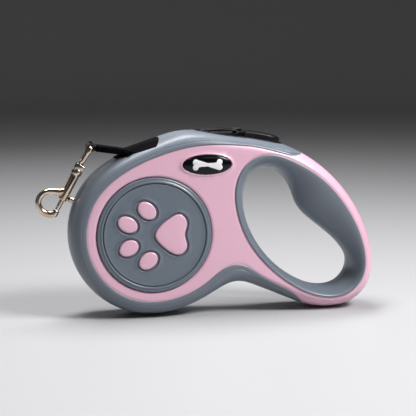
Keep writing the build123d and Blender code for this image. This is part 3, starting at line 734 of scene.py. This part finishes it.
pad_lines = [toe_line(*toe) for toe in TOES] + [spline(MAIN_PAD, True, 180)]
MOAT_W, MOAT_SLOPE, MOAT_LIP, LIP_FROM, LIP_TO = 0.85, 0.6, 0.17, 1.25, 2.04
PAD_SUNK, PAD_CROWN = 14.8, 0.22  # foot of the pads' wall, rise towards their middle
MOAT_OFFSETS = (0.4, 0.8, 0.95, 1.07, 1.19, 1.31, 1.43, 1.55, 1.7, 1.86, 2.04)
PAD_OFFSETS = (0.06, 0.15, 0.28, 0.42, 0.6, 0.8, 1.05, 1.4, 2.2)


def disc_height(points):
    """The cover's face, with a lipped moat round each pad."""
    near = np.min([distance_to(points, line) for line in pad_lines], axis=0)
    lip = MOAT_LIP * np.sin(pi * np.clip((near - LIP_FROM) / (LIP_TO - LIP_FROM), 0, 1))
    return -(MOAT_Y + (FACE_Y - MOAT_Y) * smoothstep((near - MOAT_W) / MOAT_SLOPE) + lip)


def disc_front():
    rings = loft([at_depth(circle(DISC_R + r), y) for r, y in RING_PROFILE])
    guides = [(moved(line, outward(line), offset), True)
              for line in pad_lines for offset in MOAT_OFFSETS]
    return join(rings, sheet(circle(FLAT_R), pad_lines, guides, disc_height))


def pad_front(line):
    """Crowned pad with a rounded edge."""
    def height(points):
        near = distance_to(points, line)
        edge = np.sqrt(1 - (1 - np.clip(near, 0, 1)) ** 2)
        return -(FACE_Y + (PAD_Y - FACE_Y) * edge + PAD_CROWN * smoothstep(near / 4.0))
    normal = outward(line)
    inner = moved(line, normal, -0.05)
    guides = [(moved(line, normal, -offset), True) for offset in PAD_OFFSETS]
    wall = loft([at_depth(line, PAD_SUNK), at_depth(line, FACE_Y + 0.1),
                 at_depth(inner, -height(inner))])
    return join(sheet(inner, [], guides, height), wall)


front_disc = disc_front()
front_pads = join(*[pad_front(line) for line in pad_lines])
BADGE_Y, BADGE_CROWN = 15.75, 1.15


def dome(points):
    """Depth of the badge's glossy crown."""
    share = (((points - BADGE_MID) / (BADGE_A, BADGE_B)) ** 2).sum(axis=1)
    return BADGE_Y + BADGE_CROWN * np.sqrt(np.clip(1 - share ** 1.8, 0, 1))


def badge_front():
    loops = [at_depth(oval(0.0), 15.0)]
    for share in (1.0, 0.995, 0.98, 0.95, 0.9, 0.82, 0.72, 0.6, 0.45, 0.3, 0.15, 0.05):
        ring = (oval(0.0) - BADGE_MID) * share + BADGE_MID
        loops.append(at_depth(ring, dome(ring)))
    return loft(loops, cap_end=True)


BONE_HALF, BONE_SPREAD, KNUCKLE, BONE_WAIST, BONE_LIFT = 6.9, 1.45, 1.75, 1.05, 0.14


def bone_line():
    """Outline of a plain bone, anticlockwise."""
    half = [*circle(KNUCKLE, range(-125, 56, 15), (BONE_HALF, -BONE_SPREAD)),
            *circle(KNUCKLE, range(-55, 126, 15), (BONE_HALF, BONE_SPREAD)),
            (5.1, BONE_WAIST + 0.2), (3.5, BONE_WAIST), (0, BONE_WAIST * 0.92)]
    return np.array(half + [(-x, -z) for x, z in half]) + BADGE_MID


def mark_front():
    """The bone, standing a little above the badge."""
    line = bone_line()
    inner = moved(line, outward(line), -0.1)
    guides = [(inner * (1 - share) + BADGE_MID * share, True) for share in (0.3, 0.6)]
    top = sheet(inner, [], guides, lambda points: -(dome(points) + BONE_LIFT))
    return join(top, loft([at_depth(line, dome(line) - 0.15),
                           at_depth(line, dome(line) + BONE_LIFT * 0.6),
                           at_depth(inner, dome(inner) + BONE_LIFT)]))


# ---- what each half of the case carries
for side, turn, screws in (("front", lambda part: part, []), ("back", mirrored, SCREWS)):
    for name, part, material, node, skin in (
            ("_hard_shell", shell_half(rim_width, screws), PINK, "_shell", SKIN),
            ("_cover", front_disc, DISC, "_disc", 0.8),
            ("_paw", front_pads, PINK, "_paw_pads", 0.0),
            ("_oval_badge", badge_front(), GLOSS, "_badge", 0.0),
            ("_bone_mark", mark_front(), SILVER, "_badge_mark", 0.0)):
        make_piece(side + name, turn(part), material, nodes=[side + node], skin=skin)

# ---- solid helpers
CROSS = np.array((0.0, 1.0, 0.0))


def frame_along(path, closed):
    """Two unit directions square to a path at each point, without twist."""
    along = tangents(path, closed)
    side = np.cross(along[0], CROSS)
    if np.linalg.norm(side) < 0.1:
        side = np.cross(along[0], (1.0, 0.0, 0.0))
    sides = []
    for direction in along:
        side = side - direction * (side @ direction)
        side = side / np.linalg.norm(side)
        sides.append(side)
    return np.array(sides), np.cross(along, sides)


def tube(path, radii, closed=False, count=24):
    """Round bar along a path; radii gives its radius at each point."""
    path = np.asarray(path, float)
    radii = np.broadcast_to(np.asarray(radii, float), (len(path),))
    loops = [[at + r * (cos(a) * first + sin(a) * second) for a in full_turn(count)]
             for at, r, first, second in zip(path, radii, *frame_along(path, closed))]
    if closed:
        return loft(loops + loops[:1])
    return loft(loops, cap_start=True, cap_end=True)


def lathe(profile, origin, axis, count):
    """Turned solid from (distance along the axis, radius) points."""
    third = np.cross(axis, CROSS)
    loops = [[origin + axis * d + r * (cos(a) * CROSS + sin(a) * third)
              for a in full_turn(count)] for d, r in profile]
    return loft(loops, cap_start=True, cap_end=True)


def rounded_box(low, high, radius, transform=lambda *p: p, steps=4):
    """Box with all its edges rounded, as stacked rounded rectangles."""
    levels = [(radius * (1 - sin(a)), low[2] + radius * (1 - cos(a)))
              for a in np.linspace(0, pi / 2, steps)]
    levels += [(inset, high[2] - (z - low[2])) for inset, z in reversed(levels)]
    loops = []
    for inset, z in levels:
        loop = []
        r = max(radius - inset * 0.5, 0.02)
        left, right = low[0] + inset + r, high[0] - inset - r
        near, far = low[1] + inset + r, high[1] - inset - r
        for centre, start in (((right, far), 0), ((left, far), 90), ((left, near), 180),
                              ((right, near), 270)):
            arc = circle(r, np.linspace(start, start + 90, steps), centre)
            loop += [transform(x, y, z) for x, y in arc]
        loops.append(loop)
    return loft(loops, cap_start=True, cap_end=True)


def rounded_path(corners, radius, steps):
    """Closed path whose corners are arcs."""
    path = []
    for i, corner in enumerate(corners):
        ways = [corners[i - 1] - corner, corners[(i + 1) % len(corners)] - corner]
        lengths = [np.linalg.norm(way) for way in ways]
        before, after = (way / length for way, length in zip(ways, lengths))
        half = acos(np.clip(before @ after, -1, 1)) / 2
        back = min(radius / tan(half), 0.49 * min(lengths))
        a, b = corner + before * back, corner + after * back
        path += [(1 - t) ** 2 * a + 2 * t * (1 - t) * corner + t * t * b
                 for t in np.linspace(0, 1, steps)]
    return np.array(path)


# ---- tape mouth
EYE = np.array((-35.0, -4.5, 50.0))  # middle of the eye's cross bar
SLOPE = radians(8.45)   # the tape rises towards the eye by this angle
TAPE_OUT = np.array((-cos(SLOPE), 0, sin(SLOPE)))
TAPE_UP = np.array((sin(SLOPE), 0, cos(SLOPE)))
TAPE_WIDTH, TAPE_THICK = 10.8, 0.8
SLEEVE_LOW, SLEEVE_HIGH, SLEEVE_W, SLEEVE_T = 2.6, 19.6, 12.6, 3.2
WRAP_R = 1.91           # middle of the webbing folded round the cross bar
WOUND_INNER, WOUND_OUTER = 14.05, 34.0


def by_tape(out, across, up):
    """Point given along, across and above the straight run of tape, from the cross bar."""
    return EYE + TAPE_OUT * out + CROSS * across + TAPE_UP * up


def across_tape(back, half_w, low, high, radius, steps):
    """Rounded rectangle square to the tape, at a distance back from the cross bar."""
    corners = [by_tape(-back, side * half_w, up)
               for side, up in ((-1, low), (1, low), (1, high), (-1, high))]
    return rounded_path(corners, radius, steps)


def tape_height(x):
    """Height of the middle of the straight run of tape."""
    return EYE[2] - (x - EYE[0]) * tan(SLOPE)


HOOD_X = -15.3          # front of the hood over the tape
HOOD = [(-22.0, 0.0), (-15.31, 0.0), (-15.3, 2.1), (-12.3, 1.35), (-7.0, 0.75), (4.0, 0.05),
        (6.0, 0.0)]
RECESS_W = 7.3          # half width of the recess in front of the hood


def nozzle_part():
    """Hood over the tape, on the plain surface of the case, with a recess in front of it."""
    run = unbroken(in_mouth)[0]
    shares = np.linspace(0, 1, 12) ** 0.8
    fixed = [5.0, 6.5, RECESS_W - 0.05, RECESS_W + 0.05]
    loops = []
    for at, out, inset in zip(case_line[run], case_out[run], cut_inset[run]):
        edge_y = HALF * rounding(inset)
        row = []
        for y in sorted({*(edge_y * s for s in shares), *fixed}):
            y = min(y, edge_y)
            p = at - out * (inset if y == edge_y else inset_at(y))
            lift = np.interp(at[0], [h[0] for h in HOOD], [h[1] for h in HOOD])
            p = p + out * lift * (1 - smoothstep((y - 4.5) / 6.5))
            if at[0] < HOOD_X and y < RECESS_W:
                p[1] = min(p[1], tape_height(p[0]) - SLEEVE_T / 2 - 0.5)
            row.append((p[0], y, p[1]))
        loops.append([(x, -y, z) for x, y, z in reversed(row)] + row[1:])
    return loft(loops, closed=False)


make_piece("tape_nozzle", nozzle_part(), MATT, nodes=["outlet_nozzle"], skin=1.0)


def throat_part():
    """Dark funnel inside the mouth."""
    return loft([across_tape(back, half_w, -down, up, 0.6, 5) for back, half_w, up, down in (
        (20.0, 7.2, 1.3, 2.2), (22.0, 6.8, 1.1, 1.6), (25.0, 6.2, 0.8, 1.0),
        (29.0, 5.8, 0.55, 0.55))])


make_piece("mouth_throat", throat_part(), MATT, skin=0.4, skin_side=1)


# ---- tape, its end and loop
def sleeve_part():
    """Moulded sleeve, a little thicker towards the eye, with two shallow bands."""
    stations = [(SLEEVE_LOW, 0.55), (SLEEVE_LOW + 0.15, 0.8), (SLEEVE_LOW + 0.5, 1.0), (4.6, 1.0),
                (4.75, 0.94), (5.25, 0.94), (5.4, 1.0), (9, 0.985), (13, 0.965), (16.6, 0.95),
                (16.75, 0.89), (17.25, 0.89), (17.4, 0.95), (18.9, 0.94), (19.35, 0.86),
                (SLEEVE_HIGH, 0.6)]
    loops = []
    for back, size in stations:
        half_t = (SLEEVE_T / 2 + 0.22) * size
        loops.append(across_tape(back, SLEEVE_W / 2 - (1 - size) * 1.6, -half_t, half_t, 0.85, 6))
    return loft(loops, cap_start=True, cap_end=True)


make_piece("tape_sleeve", sleeve_part(), MATT, "tape_end", ["tape_end_sleeve"])


# The ribbon's section, as (share of its half width, share of its half thickness).
SELVEDGE = [(0, 1.0), (0.4, 1.0), (0.8, 1.0), (0.9, 1.12), (0.97, 0.85), (1, 0.45)]
RIBBON = [(-across, thick) for across, thick in SELVEDGE[:0:-1]] + SELVEDGE


def ribbon(path, half_w, half_t):
    """Flat webbing along a path of (out, up) points, with rolled selvedges."""
    path = np.array(path, float)
    section = [(across * half_w, half_t * thick) for across, thick in RIBBON]
    section += [(w, -t) for w, t in reversed(section)]
    loops = [[by_tape(at[0] + up[0] * t, w, at[1] + up[1] * t) for w, t in section]
             for at, up in zip(path, -outward(path, closed=False))]
    return loft(loops, cap_start=True, cap_end=True)


def loop_part():
    """Webbing folded round the cross bar: two plies in the sleeve and a short upturned end."""
    upper = [(-6.0, 0.62), (-3.4, 0.66), (-2.4, 0.9)]
    path = upper + [*circle(WRAP_R, range(140, -141, -20))] + [(x, -z) for x, z in upper[::-1]]
    wrap = ribbon(path, TAPE_WIDTH / 2 - 0.4, 0.5)
    tail = ribbon([(-2.8, 1.1), (-1.6, 1.9), (-0.6, 2.55), (0.1, 3.2), (0.7, 3.9)],
                  TAPE_WIDTH / 2 - 0.6, 0.42)
    return join(wrap, tail)


make_piece("webbing_loop", loop_part(), WEB, "tape_end", ["tape_loop"])

lead_path = [(out, 0.0) for out in np.linspace(2.0 - SLEEVE_HIGH, -29.0, 40)]
lead = make_piece("tape_lead_webbing", ribbon(lead_path, TAPE_WIDTH / 2, TAPE_THICK / 2), WEB,
                  None, ["tape_lead"])
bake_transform(lead)


def wound_part():
    """The wound tape: every turn shows as a fine step on both faces."""
    low, high = EYE[1] - TAPE_WIDTH / 2, EYE[1] + TAPE_WIDTH / 2
    turns = int((WOUND_OUTER - WOUND_INNER) / TAPE_THICK)
    wide = (WOUND_OUTER - WOUND_INNER) / turns
    profile = [(low, WOUND_INNER)]
    for k in range(turns):
        r = WOUND_INNER + wide * k
        profile += [(low + 0.25, r + 0.03), (low, r + wide * 0.3), (low, r + wide * 0.8)]
    far_side = [(low + high - y, r) for y, r in reversed(profile)]
    profile += [(low, WOUND_OUTER - 0.05), (low + 0.1, WOUND_OUTER), (high - 0.1, WOUND_OUTER)]
    return loft([at_depth(circle(r, range(0, 360, 4)), -y)
                 for y, r in profile + far_side + profile[:1]])


make_piece("wound_tape", wound_part(), WEB, "reel", ["tape_roll"])

# ---- swivel eye and snap hook
LEAN = radians(61.4)
HOOK_DOWN = np.array((-cos(LEAN), 0.0, -sin(LEAN)))
HOOK_AWAY = np.array((-sin(LEAN), 0.0, cos(LEAN)))


def on_hook(away, across, down):
    return EYE + HOOK_AWAY * away + CROSS * across + HOOK_DOWN * down


EYE_HALF, SHOULDER, EYE_FOOT, EYE_END, WIRE = 5.02, 2.6, 2.2, 9.6, 1.28
ring_path = rounded_path([on_hook(0, y, z) for y, z in (
    (-EYE_HALF, 0), (EYE_HALF, 0), (EYE_HALF, SHOULDER), (EYE_FOOT, EYE_END),
    (-EYE_FOOT, EYE_END), (-EYE_HALF, SHOULDER))], 1.7, 10)
stem = lathe([(EYE_END - 0.9, 1.0), (EYE_END - 0.6, 1.5), (EYE_END + 0.6, 1.65),
              (EYE_END + 1.1, 1.45), (EYE_END + 1.4, 1.3), (15.3, 1.3), (15.4, 1.95), (16.5, 1.95),
              (16.65, 1.7)], EYE, HOOK_DOWN, 32)
make_piece("swivel_ring", join(tube(ring_path, WIRE, closed=True), stem), NICKEL, "hook_eye",
           ["swivel_eye"])


def hook_parts():
    collar = rounded_box((-2.6, -2.6, 11.2), (2.6, 2.6, 14.5), 0.55, on_hook, 5)
    barrel = lathe([(14.3, 2.2), (14.5, 2.75), (14.9, 3.0), (16.6, 3.0), (17.4, 2.85), (17.8, 2.5),
                    (18.2, 2.38), (18.8, 2.5), (33.0, 2.5), (33.6, 2.35), (34.0, 1.95),
                    (34.0, 1.4)], EYE, HOOK_DOWN, 56)
    way = [(0.9, 28.6), (3.0, 30.3), (5.8, 31.6), (8.6, 32.8), (10.9, 34.9), (11.9, 37.9),
           (11.4, 41.0), (9.4, 43.5), (6.6, 44.8), (4.0, 44.8), (1.9, 44.1), (0.3, 43.1)]
    share = np.linspace(0, 1, 60)
    radii = 2.05 - 0.35 * smoothstep(share * 1.8) + 0.2 * smoothstep((share - 0.5) * 2.5)
    bend = tube([on_hook(a, 0, d) for a, d in spline(way, False, 60)], radii, count=28)
    nose = lathe([(40.45, 1.35), (40.5, 1.65), (40.85, 1.85), (43.4, 1.9), (44.3, 1.6),
                  (44.7, 1.0), (44.8, 0.3)], on_hook(0.1, 0, 0), HOOK_DOWN, 40)
    return join(collar, barrel, bend, nose)


snap = make_piece("snap_hook_body", hook_parts(), NICKEL, "hook", ["snap_body"])

KNOB_AT, SLOT_TOP, BOLT_TIP = 31.5, 24.7, 40.3
slot_cut = rounded_box((-3.6, -0.95, SLOT_TOP), (-1.2, 0.95, KNOB_AT + 1.0), 0.4, on_hook, 5)
cutter = make_piece("slot_cutter", slot_cut, STEEL, None)
carve = snap.modifiers.new("slot", "BOOLEAN")
carve.operation = "DIFFERENCE"
carve.object = cutter
carve.solver = "EXACT"
carve.use_self = True
bpy.context.view_layer.update()
cut_snap = snap.evaluated_get(bpy.context.evaluated_depsgraph_get())
snap.data = bpy.data.meshes.new_from_object(cut_snap)
snap.modifiers.clear()
bpy.data.objects.remove(cutter)

bolt_rod = lathe([(24.6, 0.9), (24.8, 1.2), (25.1, 1.3), (39.7, 1.3), (40.1, 1.15),
                  (BOLT_TIP, 0.8)], EYE, HOOK_DOWN, 32)
knob_profile = [(0.9, 0.8), (3.05, 0.8), (3.1, 1.5), (3.3, 1.85)]
for k in range(5):
    knob_profile += [(3.5 + 0.48 * k, 2.0), (3.68 + 0.48 * k, 2.0), (3.76 + 0.48 * k, 1.74)]
knob_profile += [(5.9, 1.9), (6.15, 1.6), (6.2, 0.7)]
knob = lathe(knob_profile, on_hook(0, 0, KNOB_AT), -HOOK_AWAY, 36)
make_piece("thumb_bolt", join(bolt_rod, knob), NICKEL, "hook_bolt", ["snap_bolt"])

# ---- brake button
def slot_oval(trim):
    """Plan of the button's surround, drawn in by a trim, anticlockwise from above."""
    t = full_turn(160)
    x = SLOT_MIDDLE + (SLOT_HALF_L - trim) * np.sign(np.cos(t)) * abs(np.cos(t)) ** (2 / 2.9)
    return x, np.sign(np.sin(t)) * slot_half_width(x, trim)


def bezel_part():
    """Surround of the button: a rolled rim and a wall down into the case."""
    loops = []
    for trim, lift in ((-0.1, -1.2), (-0.1, 0.0), (0.05, 0.3), (0.35, 0.5), (0.75, 0.52),
                       (1.05, 0.38), (1.2, 0.1), (1.25, -0.6), (1.3, -3.0), (1.3, -7.0)):
        x, y = slot_oval(trim)
        loops.append(np.stack([x, y, top_of_case(x) - inset_at(y) + lift], axis=1))
    return loft(loops, cap_end=True)


LUG_Y, TONGUE_Y = 8.95, 7.85  # the slider's tongues go under the surround's lugs


def lug(x_low, x_high, y, half, z_low, z_high):
    return rounded_box((x_low, y - half, z_low), (x_high, y + half, z_high), 0.18, steps=3)


bezel_lugs = [part for side in (-LUG_Y, LUG_Y)
              for part in (lug(50.5, 54.7, side, 0.45, 57.05, 57.9),
                           lug(53.6, 54.7, side, 0.45, 54.0, 57.9))]
make_piece("button_surround", join(bezel_part(), *bezel_lugs), BLACK, nodes=["button_bezel"])

LEVER_TAIL = [(53.5, 57.9), (56, 57.83), (60, 57.42), (64, 56.77), (68.3, 55.87), (72, 54.97),
              (74.6, 54.2), (75.9, 53.5), (76.5, 52.6), (76.7, 51.6)]
LEVER_TOP = [(29.3, 56.6), (29.7, 57.3), (30.6, 57.8), (32, 57.9), (50, 57.9),
             *spline(LEVER_TAIL, False, 60)]


def bar_part(top, half_w, nose, tail, bottom, corner, crown=0.25, dish=None):
    """Bar along X with a rounded top: top is its side outline, nose and tail its plan taper."""
    top_x, top_z = np.array(top).T
    loops = []
    for x in sorted({*np.linspace(top_x[0], top_x[-1], 70), *top_x}):
        z_top = np.interp(x, top_x, top_z)
        taper = min(rounding(x - top_x[0] + 0.02, nose, 2.2),
                    rounding(top_x[-1] - x + 0.02, tail, 2.2))
        b = half_w * taper + 0.05
        r = min(corner, b * 0.8, max((z_top - bottom(x)) * 0.7, 0.05))
        loop = [(x, -b, bottom(x))]
        for lean in np.radians(np.linspace(0, 90, 6)):
            loop.append((x, -b + r * (1 - cos(lean)), z_top - r + r * sin(lean)))
        for share in np.linspace(-1, 1, 9)[1:-1]:
            y = share * (b - r)
            sag = dish(x, y) if dish else 0.0
            loop.append((x, y, z_top + crown * (1 - share ** 2) - sag))
        loop += [(x, -y, z) for x, y, z in reversed(loop[:7])]
        loops.append(loop)
    return loft(loops, cap_start=True, cap_end=True)


lever_body = bar_part(LEVER_TOP, 8.0, 7.0, 9.0, lambda x: top_of_case(x) - 4.2, 1.5)
leg = rounded_box((32.6, 0.9, 22.6), (36.2, 3.7, 54.0), 0.4)
make_piece("brake_button", join(lever_body, leg), BLACK, "lever", ["brake_lever"])

SLIDER_TOP = [(29.7, 58.15), (30.2, 58.5), (31, 58.85), (34.8, 59.25), (38, 59.38), (41.3, 59.4),
              (44.5, 59.2), (47.4, 58.9), (49.0, 59.2), (50.6, 59.68), (51.2, 59.8), (51.8, 59.7),
              (52.6, 59.1), (53.3, 58.5), (53.6, 58.12)]


def ribs(x, _):
    """Shallow grip ribs across the slider's middle."""
    return 0.16 * max(0.0, sin((x - 35) * 2 * pi / 1.5)) * (35 < x < 47)


slider_body = bar_part(SLIDER_TOP, 6.5, 5.0, 2.4, lambda x: 58.0, 0.7, 0.2, ribs)
tongues = [rounded_box((47.1, side - 1.2, 58.0), (49.9, side + 1.2, 58.55), 0.2, steps=3)
           for side in (-TONGUE_Y, TONGUE_Y)]
make_piece("lock_pad", join(slider_body, *tongues), BLACK, "lock", ["lock_slider"])

# ---- springs
def coil_part(start, axis, radius, wire, turns, length):
    """Helical spring from start along axis."""
    third = np.cross(axis, CROSS)
    path = []
    for share in np.linspace(0, 1, int(turns * 18) + 1):
        angle = 2 * pi * turns * share
        path.append(start + axis * (length * share)
                    + (CROSS * cos(angle) + third * sin(angle)) * radius)
    return tube(path, wire, count=8)


UPRIGHT = np.array((0.0, 0.0, 1.0))
LEVER_SPRING_FOOT = np.array((61.0, 0.0, place("lever_spring")[0][2]))
for name, node, body, joint, keep, foot, axis, radius, wire, turns, length in (
        ("button_spring", "lever_spring", "case", "brake_press", 0.64, LEVER_SPRING_FOOT, UPRIGHT,
         2.6, 0.35, 5.5, 9.4),
        ("bolt_spring", "snap_spring", "hook", "bolt_slide", 0.12, on_hook(0, 0, 17.68), HOOK_DOWN,
         0.95, 0.22, 7.1, 6.4)):
    coil = coil_part(foot + axis * wire, axis, radius, wire, turns, length)
    spring = make_piece(name, coil, SPRING, body, [node])
    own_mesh(spring)

# ---- screw wells
wells = []
for centre in SCREWS:
    deep = surface(circle(WELL_R, WELL_ANGLES, centre)).min()
    wells.append(loft([at_depth(circle(r, WELL_ANGLES, centre), -y) for r, y in (
        (WELL_R - 0.04, deep - 0.2), (WELL_R - 0.05, WELL_FLOOR), (1.6, WELL_FLOOR - 0.05))]))
make_piece("screw_wells", join(*wells), PINK, skin=0.5, skin_side=1)

# ---- finishes of the carried-over nodes
FINISHES = {"reel_drum": ACETAL, "spring_cover": ACETAL, "arbor_axle": ACETAL,
            "mainspring": SPRING, "lever_pin": STEEL, "guide_pin": STEEL, "case_screws": STEEL}
for node, material in FINISHES.items():
    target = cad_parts[node]
    if not target.data.materials:
        target.data.materials.append(material)
    for entry in target.material_slots:
        entry.material = material

# ---- floor, light and camera
LEVEL = cad_low[2] - 0.0004
FLAT, SWEEP, WALL_TOP = 2.2, 0.8, 1.6  # metres: flat radius, curve radius, top of the backdrop
steps = [(0.02, 0.0)] + [(FLAT * k / 6, 0.0) for k in range(1, 7)]
steps += [(FLAT + SWEEP * sin(radians(a)), SWEEP * (1 - cos(radians(a))))
          for a in range(9, 91, 9)] + [(FLAT + SWEEP, WALL_TOP)]
floor_verts, floor_faces = loft([[(x, y, LEVEL + z) for x, y in circle(r, range(0, 360, 5))]
                                 for r, z in steps], cap_start=True)
floor_mesh = bpy.data.meshes.new("floor")
floor_mesh.from_pydata(floor_verts, [], floor_faces)
for face in floor_mesh.polygons:
    face.use_smooth = True
floor_mesh.materials.append(new_material("pale_floor", (0.44, 0.44, 0.45), 0.5)[0])
add_object("floor", floor_mesh)

world = bpy.data.worlds.new("studio")
world.use_nodes = True
set_inputs(world.node_tree.nodes["Background"], Color=(0.80, 0.81, 0.83, 1), Strength=0.07)
bpy.context.scene.world = world

AIM = Vector((0.04, 0.0, 0.0))


def softbox(name, at, size, power):
    """Rectangular light at a place, turned towards the middle of the object."""
    light = bpy.data.lights.new(name, "AREA")
    light.shape = "RECTANGLE"
    light.size, light.size_y = size
    light.energy = power
    lamp = add_object(name, light)
    lamp.location = at
    lamp.rotation_euler = (AIM - Vector(at)).to_track_quat("-Z", "Y").to_euler()


softbox("key", (0.45, -0.34, 0.54), (0.28, 0.22), 7.6)
softbox("top", (-0.05, 0.10, 0.70), (0.6, 0.2), 6.5)
softbox("front", (0.45, -0.95, 0.45), (0.5, 0.35), 0.5)
softbox("fill", (-0.95, -0.6, 0.30), (0.4, 0.6), 0.12)
softbox("back_light", (-0.2, 0.8, 0.5), (0.8, 0.4), 0.8)

AZIMUTH, ELEVATION = radians(-12.0), radians(8.0)
DISTANCE, SHIFT_RIGHT, SHIFT_UP = 0.672, 0.0334, 0.0134
back = np.array((sin(AZIMUTH) * cos(ELEVATION),
                 -cos(AZIMUTH) * cos(ELEVATION), sin(ELEVATION)))
right = np.array((cos(AZIMUTH), sin(AZIMUTH), 0.0))
up = np.cross(back, right)
camera_data = bpy.data.cameras.new("camera")
camera_data.lens, camera_data.sensor_width = 100.0, 36.0
camera_data.clip_start = 0.01
camera = add_object("camera", camera_data)
camera.location = back * DISTANCE + right * SHIFT_RIGHT + up * SHIFT_UP
camera.rotation_euler = Vector(back).to_track_quat("Z", "Y").to_euler()
bpy.context.scene.camera = camera
bpy.context.scene.view_settings.view_transform = "Standard"
